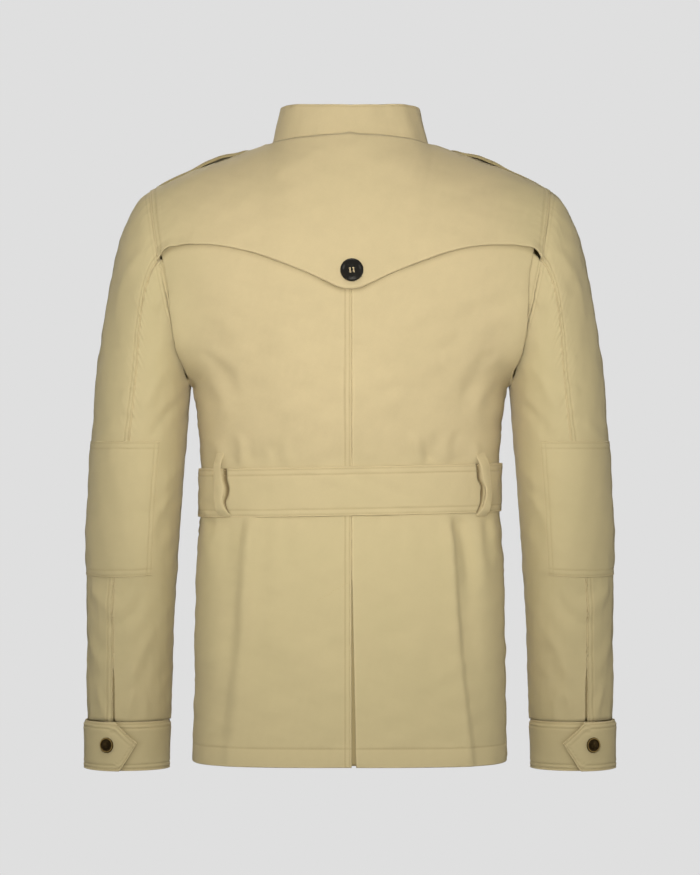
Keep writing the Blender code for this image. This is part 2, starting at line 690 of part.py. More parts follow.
def sleeve_under(name, side):
    along = SLEEVE_ROWS
    seam = column(SLEEVE_SEAM, SLEEVE_SEAM_COLUMNS, "turn", along) + slit(along)
    end = SLEEVE_FRONT_SEAM_TURN - 0.25
    turns = seam[:, None] + (end - seam)[:, None] * np.linspace(0.0, 1.0, 9)[None, :]
    points, normals = sleeve_facing(along[:, None], turns)
    return cloth(name, side, points, normals, np.zeros(turns.shape))


def elbow_patch(name, side):
    turns = np.linspace(PATCH_OUTER_TURN, PATCH_INNER_TURN, 11)
    drops = np.linspace(PATCH_TOP_DROP, PATCH_BOTTOM_DROP, 5)
    along = np.array([[along_at(turn, drop) for turn in turns] for drop in drops])
    points, normals = sleeve_facing(along, np.broadcast_to(turns, along.shape))
    return cloth(name, side, points, normals, np.full(along.shape, PATCH_LIFT), thickness=TRIM_THICKNESS)


def sleeve_placket(name, side):
    """The strip that lies behind the slit above the cuff."""
    drops = np.linspace(SLIT_TOP_DROP - 8.0, CUFF_TOP_DROP - 3.0, 4)
    turns = np.array(PLACKET_TURNS)
    along = np.array([[along_at(turn, drop) for turn in turns] for drop in drops])
    points, normals = sleeve_facing(along, np.broadcast_to(turns, along.shape))
    lift = np.full(along.shape, PLACKET_LIFT)
    return cloth(name, side, points, normals, lift, thickness=TRIM_THICKNESS, colour=TAN_SHADE)


def cuff_band(name, side):
    plain = np.linspace(CUFF_UNDER_END_TURN, CUFF_TOP_CORNER_TURN, 25)
    turn = np.append(plain, [CUFF_BOTTOM_CORNER_TURN, 452.0, CUFF_TIP_TURN])
    slant_ends = (CUFF_TOP_CORNER_TURN, CUFF_TIP_TURN), (CUFF_BOTTOM_CORNER_TURN, CUFF_TIP_TURN)
    top = np.interp(turn, slant_ends[0], (CUFF_TOP_DROP, CUFF_TIP_DROP - 1.0))
    bottom = np.interp(turn, slant_ends[1], (CUFF_BOTTOM_DROP, CUFF_TIP_DROP + 1.0))
    drops = np.stack([top, (top + bottom) / 2, bottom])
    points, normals = cuff_facing(np.broadcast_to(turn, drops.shape), drops)
    lift = np.broadcast_to(CUFF_LAP * ease(turn, *CUFF_LAP_TURN), drops.shape)
    return cloth(name, side, points, normals, lift, thickness=CUFF_THICKNESS)


def belt_route():
    """Plan of the belt, from its under end to its tip: face, x and how far it stands off the body."""
    lapped = BELT_GAP + BELT_THICKNESS + FRONT_LAP_LIFT
    over = lapped + BELT_THICKNESS + 0.7
    stops = [(FRONT, 8.0, lapped), (FRONT, -20.0, lapped), (FRONT, -48.0, lapped)]
    half = [74.0, 98.0, 120.0, 138.0, 151.0, 160.5, 166.0]
    flat = BELT_GAP + BELT_THICKNESS
    stops += [(FRONT, -x, max(flat, lapped - 2.9 * (x - 48.0) / 40.0)) for x in half]
    back = [-168.4, -166.0, -160.5, -151.0, -138.0, -120.0, -96.0, -66.0, -33.0, 0.0]
    stops += [(BACK, -175.0, flat)] + [(BACK, x, flat) for x in back]
    stops += [(BACK, -x, flat) for x in back[-2::-1]] + [(BACK, 175.0, flat)]
    stops += [(FRONT, x, max(flat, lapped - 2.9 * (x - 48.0) / 40.0)) for x in half[::-1]]
    bar = over + BELT_HUMP
    stops += [(FRONT, 50.0, lapped + 1.0), (FRONT, 30.0, over), (FRONT, 20.0, over), (FRONT, 4.0, bar)]
    stops += [(FRONT, -4.0, bar), (FRONT, -20.0, over), (FRONT, -30.0, over), (FRONT, -55.0, over)]
    stops += [(FRONT, BELT_TIP_X + 16.0, over), (FRONT, BELT_TIP_X, over)]
    return stops


def belt_points(stops, drops):
    """Points and level normals where the belt's stops cross the given drops below the middle of its width."""
    points, normals = [], []
    for face, x, lift in stops:
        z = -np.asarray(drops, float) - BELT_TILT * x
        down = body_down(z)
        width = column(BODY, BODY_COLUMNS, "half_width", -z)
        place, normal = body_facing(face, np.clip(x / width, -1.0, 1.0), down)
        normal[..., 2] = 0.0
        normal /= np.linalg.norm(normal, axis=-1, keepdims=True)
        place[..., 2] = z
        points.append(place + normal * lift)
        normals.append(normal)
    return np.stack(points, 1), np.stack(normals, 1)


def belt(name):
    half = BELT_WIDTH / 2
    middle = BELT_MIDDLE_DROP
    points, normals = belt_points(belt_route(), [middle - half, middle, middle + half])
    # The free end runs to a point.
    points[0, -1, 2] = points[1, -1, 2] + BELT_TIP_HALF
    points[2, -1, 2] = points[1, -1, 2] - BELT_TIP_HALF
    return cloth(name, LEFT, points, normals, np.zeros(points.shape[:2]), thickness=BELT_THICKNESS)


def belt_loop(name, x):
    """A narrow loop, sewn above the belt and just under its lower edge, that the belt runs through."""
    xs = x + LOOP_LEAN * LOOP_WIDTH / 2 * np.array([-1.0, 0.0, 1.0])
    points, normals = [], []
    for drop, lift in LOOP:
        place, normal = belt_points([(BACK, value, lift) for value in xs], [drop])
        points.append(place[0])
        normals.append(normal[0])
    points, normals = np.array(points), np.array(normals)
    return cloth(name, LEFT, points, normals, np.zeros(points.shape[:2]), thickness=LOOP_THICKNESS)


def buckle(name):
    """A flat frame with a middle bar, which the belt's free end is threaded through."""
    place, _ = belt_points([(FRONT, 0.0, 0.0)], [BELT_MIDDLE_DROP - BELT_WIDTH / 2])
    front_y = place[0, 0, 1]
    lapped = BELT_GAP + BELT_THICKNESS + FRONT_LAP_LIFT
    over = lapped + BELT_THICKNESS + 0.7
    xs = [-29.0, -23.5, -1.8, 1.8, 23.5, 29.0]
    zs = [-34.5, -29.5, 29.5, 34.5]
    bm = bmesh.new()
    grid = bmesh.ops.create_grid(bm, x_segments=5, y_segments=3, size=1.0)["verts"]
    for index, vert in enumerate(grid):
        row, step = divmod(index, len(xs))
        vert.co = (xs[step], front_y - over - 0.9, zs[row] - BELT_MIDDLE_DROP)
    windows = [face for face in bm.faces if face.calc_area() > 600.0]
    bmesh.ops.delete(bm, geom=windows, context="FACES")
    walls = bmesh.ops.extrude_face_region(bm, geom=bm.faces[:], use_keep_orig=True)["geom"]
    moved = [item for item in walls if isinstance(item, bmesh.types.BMVert)]
    bmesh.ops.translate(bm, verts=moved, vec=(0.0, -2.4, 0.0))
    bmesh.ops.scale(bm, verts=bm.verts[:], vec=(MM, MM, MM))
    return finish_object(name, bm, BRASS, 0.35, 1.0)


def turned(profile, segments=16):
    """A solid turned about Z from (radius, height) pairs in millimetres."""
    bm = bmesh.new()
    points = [bm.verts.new((radius * MM, 0.0, height * MM)) for radius, height in profile]
    edges = [bm.edges.new(pair) for pair in zip(points, points[1:])]
    full = {"cent": (0, 0, 0), "axis": (0, 0, 1), "angle": math.tau}
    bmesh.ops.spin(bm, geom=points + edges, steps=segments, use_merge=True, **full)
    bmesh.ops.remove_doubles(bm, verts=bm.verts[:], dist=1e-6)
    return bm


def stand_on(made, point, normal):
    """Places an object with its +Z along the normal of the cloth that it is sewn to."""
    made.location = Vector(point) * MM
    made.rotation_euler = Vector(normal).to_track_quat("Z", "X").to_euler()
    return made


def coat_button(name, point, normal):
    """A big flat button with a raised rim and four holes."""
    made = finish_object(name, turned(COAT_BUTTON), BLACK, 0.12)
    holes = bmesh.new()
    hole = {"radius1": HOLE_RADIUS * MM, "radius2": HOLE_RADIUS * MM, "depth": 6 * MM}
    for corner in range(4):
        angle = math.radians(45 + 90 * corner)
        reach = HOLE_CIRCLE * MM
        shift = Matrix.Translation((reach * math.cos(angle), reach * math.sin(angle), 2 * MM))
        bmesh.ops.create_cone(holes, cap_ends=True, segments=8, matrix=shift, **hole)
    mesh = bpy.data.meshes.new(name + "_holes")
    holes.to_mesh(mesh)
    holes.free()
    cutter = bpy.data.objects.new(name + "_holes", mesh)
    bpy.context.scene.collection.objects.link(cutter)
    cutter.parent = made
    cutter.hide_render = True
    cutter.display_type = "WIRE"
    cut = made.modifiers.new("holes", "BOOLEAN")
    cut.object = cutter
    cut.operation = "DIFFERENCE"
    return stand_on(made, point, normal)


def brass_button(name, point, normal):
    """A small domed button with a rolled rim and a short shank."""
    return stand_on(finish_object(name, turned(BRASS_BUTTON), BRASS, 0.4, 1.0), point, normal)


def mirrored(point, side):
    return np.array([point[0] * side, point[1], point[2]])


def buttons():
    steps = np.linspace(0.2, float(cape_hem_down(0.0)), 200)
    drop = -body(BACK, 0.0, steps)[:, 2]
    down = float(np.interp(YOKE_BUTTON_DROP, drop, steps))
    point, normal = body_facing(BACK, SEAM_X / row_width(down), down)
    coat_button("yoke_button", point + CAPE_LIFT * normal, normal)
    steps = np.linspace(0.3, 2.0, 2000)
    front_drop = -body(FRONT, 0.0, steps)[:, 2]
    for index, drop in enumerate(FRONT_BUTTON_DROPS):
        down = float(np.interp(drop, front_drop, steps))
        point, normal = body_facing(FRONT, 0.0, down)
        coat_button(f"front_button_{index + 1}", point + FRONT_LAP_LIFT * normal, normal)
    for word, side in SIDES:
        point, normal = cuff_facing(CUFF_BUTTON_TURN, CUFF_BUTTON_DROP)
        point = point + CUFF_LAP * ease(CUFF_BUTTON_TURN, *CUFF_LAP_TURN) * normal
        brass_button(f"cuff_button_{word}", mirrored(point, side), mirrored(normal, side))


def build():
    clear_scene()
    for word, side in SIDES:
        back_panel(f"back_panel_{word}", side)
        pleat_underlay(f"back_pleat_{word}", side)
        front_panel(f"front_panel_{word}", side)
        shoulder_strap(f"shoulder_strap_{word}", side)
        sleeve_top(f"sleeve_top_{word}", side)
        sleeve_under(f"sleeve_under_{word}", side)
        elbow_patch(f"elbow_patch_{word}", side)
        sleeve_placket(f"sleeve_placket_{word}", side)
        cuff_band(f"cuff_{word}", side)
    cape("storm_cape")
    vent_underlay("vent_underlay")
    collar_band("collar")
    belt("belt")
    for (word, _), x in zip(SIDES, LOOP_X):
        belt_loop(f"belt_loop_{word}", x)
    buckle("buckle")
    buttons()


build()
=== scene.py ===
"""Looks of the belted field jacket: cloth panels, seams, stitching, buttons and buckle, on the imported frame.

Tables of the cut are in millimetres and meshes in metres. +Z is up, +X the wearer's left, the back faces +Y.
A place on the body has a face, a share `across` from the middle (0) to the armhole or side seam (1), and a
share `down`: 0 the neck and shoulder line, 1 the armpit, 2 the hem. A place on a sleeve has a share `along`
from the armhole (0) to the cuff (1) and a turn in degrees: 0 the outer side, 90 the back, 180 the inner side.
"""

import math

import bmesh
import bpy
import numpy as np
from mathutils import Matrix, Vector


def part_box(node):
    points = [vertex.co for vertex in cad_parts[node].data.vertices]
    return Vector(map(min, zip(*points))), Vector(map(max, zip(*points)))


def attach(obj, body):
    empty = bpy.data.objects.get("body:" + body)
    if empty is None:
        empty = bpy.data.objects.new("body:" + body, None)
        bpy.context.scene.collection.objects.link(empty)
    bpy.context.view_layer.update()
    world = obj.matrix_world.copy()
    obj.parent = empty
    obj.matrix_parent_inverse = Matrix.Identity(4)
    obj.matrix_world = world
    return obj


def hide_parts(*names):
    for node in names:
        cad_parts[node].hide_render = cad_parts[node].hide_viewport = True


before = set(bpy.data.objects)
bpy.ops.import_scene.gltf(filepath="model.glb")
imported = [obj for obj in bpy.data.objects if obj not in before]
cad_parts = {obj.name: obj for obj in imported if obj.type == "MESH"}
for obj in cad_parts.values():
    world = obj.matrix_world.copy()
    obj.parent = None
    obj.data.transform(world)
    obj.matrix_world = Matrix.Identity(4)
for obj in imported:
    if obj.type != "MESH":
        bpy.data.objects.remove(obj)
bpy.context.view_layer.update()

MM = 0.001
BACK = 1
FRONT = -1
LEFT = 1
RIGHT = -1
SIDES = (("left", LEFT), ("right", RIGHT))

# The cut, as the frame has it.

SEAM_GAP = 0.2
NECK_HALF_WIDTH = 93.0
NECK_HALF_DEPTH = 73.0
NECK_ROUNDNESS = 2.2
SHOULDER_HALF_WIDTH = 228.0
SHOULDER_Z = -62.5
ARMPIT_HALF_WIDTH = 180.0
ARMPIT_Z = -284.0
ARMHOLE_HALF_DEPTH = 76.0
ARMHOLE_BULGE = 4.0
RIDGE_Y = -3.0
HEM_Z = -705.0
UPPER_ROUNDNESS = 2.5
SEAM_X = -2.0
NECK_ACROSS = NECK_HALF_WIDTH / SHOULDER_HALF_WIDTH
FULL_MIDDLE_Z = -150.0
FULL_ARMHOLE_Z = (SHOULDER_Z + ARMPIT_Z) / 2

TOP_COLUMNS = ("across", "back_z", "front_z")
TOP_LINE = (
    (0.0, 49.8, -51.0),
    (0.175, 36.5, -36.0),
    (0.307, 14.0, -15.0),
    (0.408, -8.5, -9.0),
    (0.44, -11.4, -11.6),
    (0.522, -17.5, -17.5),
    (0.653, -27.5, -27.5),
    (0.772, -38.5, -38.5),
    (0.89, -49.5, -49.5),
    (1.0, SHOULDER_Z, SHOULDER_Z),
)
DEPTH_COLUMNS = ("drop", "back", "front")
DEPTH = (
    (150.0, 110.5, 112.0),
    (190.0, 112.0, 116.5),
    (235.0, 112.5, 119.0),
    (284.0, 111.0, 119.0),
    (310.0, 109.0, 118.0),
    (343.0, 104.0, 114.5),
    (372.0, 98.5, 110.5),
    (400.0, 96.0, 108.0),
    (428.0, 98.0, 109.0),
    (463.0, 104.5, 112.0),
    (520.0, 109.5, 115.5),
    (600.0, 113.5, 118.0),
    (660.0, 115.5, 118.5),
    (705.0, 116.5, 118.5),
)
BODY_COLUMNS = ("drop", "half_width", "roundness")
BODY = (
    (284.0, 180.0, 2.5),
    (310.0, 174.5, 2.5),
    (343.0, 171.5, 2.5),
    (372.0, 169.5, 2.5),
    (400.0, 169.0, 2.55),
    (428.0, 170.5, 2.65),
    (463.0, 174.0, 2.8),
    (520.0, 175.5, 3.0),
    (600.0, 176.5, 3.2),
    (660.0, 177.5, 3.3),
    (705.0, 178.5, 3.4),
)
CAPE_COLUMNS = ("x", "drop")
CAPE_HEM = (
    (0.0, 176.0),
    (10.0, 175.0),
    (22.0, 170.0),
    (44.0, 159.5),
    (77.0, 146.5),
    (110.0, 135.0),
    (149.0, 127.5),
    (166.0, 126.5),
    (190.0, 127.5),
    (205.0, 132.5),
    (216.0, 146.0),
)
SLEEVE_COLUMNS = ("along", "outer_x", "outer_drop", "inner_x", "inner_drop", "half_depth", "centre_y")
SLEEVE = (
    (0.00, 228.0, 60.5, 181.2, 284.5, 76.0, -3.0),
    (0.04, 240.0, 70.0, 181.4, 287.5, 77.0, -3.0),
    (0.08, 251.0, 89.0, 181.9, 291.5, 78.0, -3.0),
    (0.13, 260.5, 111.0, 182.6, 297.5, 78.5, -2.5),
    (0.20, 269.0, 143.0, 183.8, 309.0, 78.0, -2.0),
    (0.30, 277.5, 190.0, 185.8, 334.0, 76.0, 0.0),
    (0.40, 285.0, 244.0, 188.5, 371.0, 72.5, 3.0),
    (0.50, 291.0, 301.0, 191.8, 414.0, 68.0, 5.0),
    (0.60, 295.5, 359.0, 195.2, 460.0, 63.5, 4.0),
    (0.70, 299.0, 421.0, 198.2, 508.0, 59.0, 0.0),
    (0.80, 301.0, 490.0, 201.3, 556.0, 54.0, -8.0),
    (0.90, 301.5, 573.0, 203.6, 610.0, 49.0, -18.0),
    (1.00, 301.5, 662.4, 206.0, 662.4, 44.8, -28.5),
)
SLEEVE_SEAM_COLUMNS = ("along", "turn")
SLEEVE_SEAM = ((0.0, 75.0), (0.2, 80.0), (0.4, 84.0), (0.6, 80.0), (0.8, 72.0), (1.0, 72.0))
SLEEVE_FRONT_SEAM_TURN = 245.0
SLIT_START = 0.915
SLIT_TOP_DROP = 594.0
SLIT_WIDTH = 2.4
SLIT_RUN_OUT = 30.0
SLEEVE_MEAN_RADIUS = 50.0

PATCH_TOP_DROP = 344.0
PATCH_BOTTOM_DROP = 495.0
PATCH_INNER_TURN = 121.0
PATCH_OUTER_TURN = -14.0
PATCH_LIFT = 0.75
PATCH_STITCHES = (2.2, 8.0)
PATCH_PER_DEGREE = 1.17
PATCH_SAG = 2.6
PLACKET_LIFT = -3.8

CUFF_TOP_DROP = 663.0
CUFF_BOTTOM_DROP = 719.0
CUFF_COLUMNS = ("drop", "centre_x", "half_width", "half_depth", "centre_y")
CUFF = (
    (663.0, 254.3, 48.8, 46.4, -28.5),
    (719.0, 255.2, 47.8, 45.0, -33.0),
)
CUFF_UNDER_END_TURN = 58.0
CUFF_TOP_CORNER_TURN = 436.5
CUFF_BOTTOM_CORNER_TURN = 443.0
CUFF_TIP_TURN = 464.5
CUFF_TIP_DROP = 687.0
CUFF_LAP = 3.1
CUFF_LAP_TURN = (300.0, 405.0)
CUFF_TAB_RISE = 1.1
CUFF_TOP_SUNK = 2.0
CUFF_STITCHES = (2.4, 7.0)
CUFF_PER_DEGREE = 0.83
CUFF_SLANT = 0.72
CUFF_SHADE_REACH = 3.2
CUFF_BUTTON_TURN = 66.7

COLLAR_SEAM_DEPTH = 3.0
COLLAR_FRONT_RISE = 3.4
COLLAR_BASE = (90.8, 69.6)
COLLAR_TOP = (79.5, 63.0)
COLLAR_END_ANGLE = 193.0
COLLAR_FRONT_TURN = (120.0, 150.0)
COLLAR_END_TURN = (140.0, 164.0)
COLLAR_END_LIFT = 2.9
COLLAR_COLUMNS = ("angle", "top_z")
COLLAR_EDGE = (
    (0.0, 33.5),
    (28.0, 35.0),
    (60.0, 36.0),
    (90.0, 33.0),
    (120.0, 14.0),
    (150.0, -20.0),
    (180.0, -37.0),
    (200.0, -38.0),
)

FRONT_LAP = 22.0
FRONT_LAP_LIFT = 2.9
BELT_MIDDLE_DROP = 399.5
BELT_WIDTH = 55.0
BELT_THICKNESS = 2.0
BELT_TILT = 0.019
BELT_GAP = 2.0
BELT_TIP_X = -92.0
BELT_HUMP = 8.8
BELT_STITCHES = (2.2, 8.2)
LOOP_COURSE_COLUMNS = ("drop", "inner_edge", "gap")
LOOP_COURSES = {
    "left": (
        (357.0, 140.6, 1.6),
        (372.0, 140.2, 2.3),
        (385.0, 139.6, 2.5),
        (396.0, 137.2, 2.6),
        (402.0, 137.4, 2.2),
        (410.0, 138.8, 1.3),
        (417.0, 137.0, 1.0),
        (426.0, 132.8, 0.9),
    ),
    "right": (
        (357.0, 138.4, 1.2),
        (366.0, 140.4, 1.4),
        (378.0, 142.6, 1.9),
        (390.0, 144.6, 2.1),
        (397.0, 147.2, 1.6),
        (404.0, 147.6, 1.9),
        (414.0, 145.8, 1.4),
        (426.0, 140.6, 0.9),
    ),
}
LOOP_LIFT_COLUMNS = ("drop", "lift")
LOOP_LIFT = (
    (357.0, 1.2),
    (361.0, 2.4),
    (369.0, 6.2),
    (382.0, 7.2),
    (399.0, 7.4),
    (414.0, 7.0),
    (422.0, 6.0),
    (428.0, 1.6),
)
LOOP_WIDTH = 10.0
STRAP_INNER_X = 108.0
STRAP_OUTER_X = 222.0
STRAP_WIDTH = 44.0
STRAP_MIDDLE_Y = -21.0
STRAP_LIFT = 6.4
STRAP_CREST_Y = 2.0
STRAP_SAG = 0.0042
STRAP_FRONT_SHARE = 1.2
STRAP_REST = 1.8
STRAP_BOW = 1.2
VENT_TOP_DROP = 494.0
VENT_TACK_REACH = 34.0
VENT_TACK_FALL = 21.0
VENT_GAP_AT_HEM = 4.5
VENT_UNDERLAY_WIDTH = 40.0
VENT_UNDERLAY_LIFT = -3.6
CAPE_LIFT = 2.8
CAPE_SHADE_REACH = 3.4
PLEAT_OUTER_SHARE = 0.9972
PLEAT_STITCH = 2.6

SKIRT_FOLD_COLUMNS = ("drop", "x", "depth")
SKIRT_FOLD = (
    (284.0, 118.0, 0.0),
    (400.0, 112.0, 0.0),
    (428.0, 110.0, 4.0),
    (470.0, 112.0, 5.5),
    (600.0, 122.0, 4.0),
    (705.0, 134.0, 2.6),
)
FRONT_BUTTONS = 5


def column(table, names, name, at):
    """One named column of a table, read at `at` of its first column on a smooth curve through its rows."""
    keys = np.array([row[0] for row in table])
    values = np.array([row[names.index(name)] for row in table])
    slopes = np.gradient(values, keys) if len(keys) > 2 else np.full(2, np.diff(values) / np.diff(keys))
    at = np.asarray(at, float)
    i = np.clip(np.searchsorted(keys, at) - 1, 0, len(keys) - 2)
    span = keys[i + 1] - keys[i]
    t = np.clip((at - keys[i]) / span, 0.0, 1.0)
    start = (1 + 2 * t) * (1 - t) ** 2 * values[i] + t * (1 - t) ** 2 * span * slopes[i]
    end = t * t * (3 - 2 * t) * values[i + 1] + t * t * (t - 1) * span * slopes[i + 1]
    return start + end


def ease(value, low, high):
    """0 below low, 1 above high, smooth between."""
    t = np.clip((np.asarray(value, float) - low) / (high - low), 0.0, 1.0)
    return t * t * (3 - 2 * t)


def armhole_half_width(turn):
    middle = (SHOULDER_HALF_WIDTH + ARMPIT_HALF_WIDTH) / 2
    swing = (SHOULDER_HALF_WIDTH - ARMPIT_HALF_WIDTH) / 2
    return middle + swing * np.cos(turn) + ARMHOLE_BULGE * np.sin(turn) ** 2


def depth_at(face, drop):
    return column(DEPTH, DEPTH_COLUMNS, "back" if face == BACK else "front", drop)


def upper_body(face, across, down):
    """The body above the armpit: x, depth from the shoulder line, z."""
    turn = math.pi * np.clip(down, 0.0, 1.0)
    full_z = FULL_MIDDLE_Z + (FULL_ARMHOLE_Z - FULL_MIDDLE_Z) * across**2
    over = np.clip(np.cos(turn), 0.0, 1.0)
    under = np.clip(-np.cos(turn), 0.0, 1.0)
    top_z = column(TOP_LINE, TOP_COLUMNS, "back_z" if face == BACK else "front_z", across)
    z = full_z + (top_z - full_z) * over + (ARMPIT_Z - full_z) * under
    middle = depth_at(face, -(FULL_MIDDLE_Z + (ARMPIT_Z - FULL_MIDDLE_Z) * under))
    sweep = np.where(turn < math.pi / 2, 1.0, np.sin(turn))
    cut = ARMHOLE_HALF_DEPTH * sweep / middle
    bow = (1 - across**UPPER_ROUNDNESS * (1 - cut**UPPER_ROUNDNESS)) ** (1 / UPPER_ROUNDNESS)
    arch = np.where(turn < math.pi / 2, np.sin(turn), 1.0)
    return across * armhole_half_width(turn), middle * bow * arch, z


def neck_down(face, across):
    """The share down at which a column of the body starts: at the neck opening, or on the shoulder line."""
    share = np.abs(np.asarray(across, float))
    inside = np.clip(1 - (share / NECK_ACROSS) ** NECK_ROUNDNESS, 0.0, 1.0)
    ring = NECK_HALF_DEPTH * inside ** (1 / NECK_ROUNDNESS)
    _, full, _ = upper_body(face, share, 0.5)
    return np.arcsin(np.clip(ring / full, 0.0, 1.0)) / math.pi


def lower_body(face, across, down):
    """The body below the armpit: x, depth from the shoulder line, z."""
    z = row_height(down)
    roundness = column(BODY, BODY_COLUMNS, "roundness", -z)
    bow = np.clip(1 - across**roundness, 0.0, 1.0) ** (1 / roundness)
    return across * column(BODY, BODY_COLUMNS, "half_width", -z), depth_at(face, -z) * bow, z


def body(face, across, down):
    """A place on the body's outer surface. A negative share across is the wearer's right."""
    across, down = np.broadcast_arrays(np.asarray(across, float), np.asarray(down, float))
    share = np.abs(across)
    x, depth, z = upper_body(face, share, np.minimum(down, 1.0))
    low_x, low_depth, low_z = lower_body(face, share, np.maximum(down, 1.0))
    upper = down <= 1.0
    x = np.where(upper, x, low_x)
    y = RIDGE_Y + face * (np.where(upper, depth, low_depth) + SEAM_GAP)
    return np.stack([np.where(across < 0, -x, x), y, np.where(upper, z, low_z)], -1)


def body_down(z):
    """The share down of a height below the armpit."""
    return 1 + (z - ARMPIT_Z) / (HEM_Z - ARMPIT_Z)


def row_height(down):
    """The height of a share down below the armpit."""
    return ARMPIT_Z + (HEM_Z - ARMPIT_Z) * (down - 1)


def row_width(down):
    """Half the body's width at a share down."""
    above = armhole_half_width(math.pi * np.minimum(down, 1.0))
    below = column(BODY, BODY_COLUMNS, "half_width", -row_height(np.maximum(down, 1.0)))
    return np.where(np.asarray(down) <= 1, above, below)


def find_cape_hem(share):
    """The share down at which the curved hem of the cape crosses a share across."""
    low, high = np.full(share.shape, 0.2), np.full(share.shape, 0.9)
    for _ in range(40):
        middle = (low + high) / 2
        place = body(BACK, share, middle)
        above = -place[..., 2] < column(CAPE_HEM, CAPE_COLUMNS, "drop", place[..., 0])
        low, high = np.where(above, middle, low), np.where(above, high, middle)
    return low


HEM_KEYS = np.linspace(0.0, 1.0, 401)
HEM_DOWNS = find_cape_hem(HEM_KEYS)


def row_down(face, across, row):
    """The share down of a row: 0 the neck and shoulder, 1 the cape's hem line, 2 the armpit, 3 the hem."""
    start, hem = neck_down(face, across), np.interp(np.abs(across), HEM_KEYS, HEM_DOWNS)
    on_cape = start + (hem - start) * np.clip(row, 0.0, 1.0)
    return on_cape + (1 - hem) * np.clip(row - 1, 0.0, 1.0) + np.maximum(row - 2, 0.0)


def pleat_edge(side, down):
    """Share across at which the back panel's folded edge lies, and how proud it stands."""
    turn = 180.0 * np.minimum(down, 1.0)
    reach = (4.0, 1.5) if side == LEFT else (10.0, 2.0)
    inset = reach[0] + (reach[1] - reach[0]) * ease(turn, 80.0, 125.0)
    inset = inset * (1 - ease(turn, 140.0, 180.0))
    proud = 7.0 * ease(turn, 82.0, 118.0) * (1 - ease(turn, 125.0, 165.0))
    return 1 - inset / armhole_half_width(np.radians(turn)), proud


def vent_edge(side, down):
    """X of a back panel's middle edge: on the centre seam, then at the vent."""
    opened = np.clip((-row_height(down) - VENT_TOP_DROP) / (-HEM_Z - VENT_TOP_DROP), 0.0, 1.0)
    return SEAM_X + (SEAM_GAP if side == LEFT else -SEAM_GAP - VENT_GAP_AT_HEM * opened)


def sleeve(along, turn_degrees):
    """A place on the left sleeve's outer surface."""
    along, turn = np.broadcast_arrays(np.asarray(along, float), np.radians(turn_degrees))
    ring = {name: column(SLEEVE, SLEEVE_COLUMNS, name, along) for name in SLEEVE_COLUMNS[1:]}
    middle_x = (ring["outer_x"] + ring["inner_x"]) / 2
    swing_x = (ring["outer_x"] - ring["inner_x"]) / 2
    middle_z = -(ring["outer_drop"] + ring["inner_drop"]) / 2
    swing_z = (ring["inner_drop"] - ring["outer_drop"]) / 2
    bulge = ARMHOLE_BULGE * np.sin(turn) ** 2 * np.clip(1 - along / 0.2, 0.0, 1.0)
    x = middle_x + swing_x * np.cos(turn) + bulge
    y = ring["centre_y"] + ring["half_depth"] * np.sin(turn)
    return np.stack([x, y, middle_z + swing_z * np.cos(turn)], -1)


def along_at(turns, drops):
    """The shares along the sleeve at which turns reach drops, for one row of turns and one of drops."""
    steps = np.linspace(0.0, 1.0, 401)
    heights = -sleeve(steps[:, None], np.asarray(turns)[None, :])[..., 2]
    return np.stack([np.interp(drops, heights[:, i], steps) for i in range(len(turns))], 1)


def slit(along):
    """Half the opening, in degrees of turn, between the two halves of the sleeve at their back seam."""
    drop = -sleeve(along, 72.0)[..., 2]
    width = SEAM_GAP + SLIT_WIDTH / 2 * ease(drop, SLIT_TOP_DROP, SLIT_TOP_DROP + SLIT_RUN_OUT)
    return np.degrees(width / SLEEVE_MEAN_RADIUS)


def seam_turn(along):
    return column(SLEEVE_SEAM, SLEEVE_SEAM_COLUMNS, "turn", along)


def cuff(turn_degrees, drop):
    """A place on the left cuff's outer surface."""
    turn = np.radians(turn_degrees)
    ring = {name: column(CUFF, CUFF_COLUMNS, name, drop) for name in CUFF_COLUMNS[1:]}
    x = ring["centre_x"] + ring["half_width"] * np.cos(turn)
    y = ring["centre_y"] + ring["half_depth"] * np.sin(turn)
    return np.stack(np.broadcast_arrays(x, y, -np.asarray(drop, float)), -1)


def collar(angle_degrees, rise):
    """A place on the collar: angle 0 is the back, 180 the front; rise 0 is the seam, 1 the top edge."""
    angle = np.radians(angle_degrees)
    half_width = COLLAR_BASE[0] + (COLLAR_TOP[0] - COLLAR_BASE[0]) * rise
    half_depth = COLLAR_BASE[1] + (COLLAR_TOP[1] - COLLAR_BASE[1]) * rise
    power = 2 / NECK_ROUNDNESS
    x = half_width * np.sign(np.sin(angle)) * np.abs(np.sin(angle)) ** power
    y = RIDGE_Y + half_depth * np.sign(np.cos(angle)) * np.abs(np.cos(angle)) ** power
    share = np.abs(np.sin(angle)) ** power * NECK_ACROSS
    back_z = body(BACK, share, neck_down(BACK, share))[..., 2]
    front_z = body(FRONT, share, neck_down(FRONT, share))[..., 2]
    raised = (COLLAR_SEAM_DEPTH + COLLAR_FRONT_RISE) * ease(np.abs(angle_degrees), *COLLAR_FRONT_TURN)
    base_z = np.where(np.cos(angle) >= 0, back_z, front_z) - (COLLAR_SEAM_DEPTH - raised)
    top_z = column(COLLAR_EDGE, COLLAR_COLUMNS, "top_z", np.abs(angle_degrees))
    return np.stack(np.broadcast_arrays(x, y, base_z + (top_z - base_z) * rise), -1)


def strap_height(x, y):
    """A strap bridges the shoulder: it lies on the cape behind and falls a little towards the front."""
    ridge = column(TOP_LINE, TOP_COLUMNS, "back_z", x / SHOULDER_HALF_WIDTH)
    sag = STRAP_SAG * (y - STRAP_CREST_Y) ** 2
    return ridge + STRAP_LIFT - np.where(y < STRAP_CREST_Y, STRAP_FRONT_SHARE * sag, sag)


# Finishes.


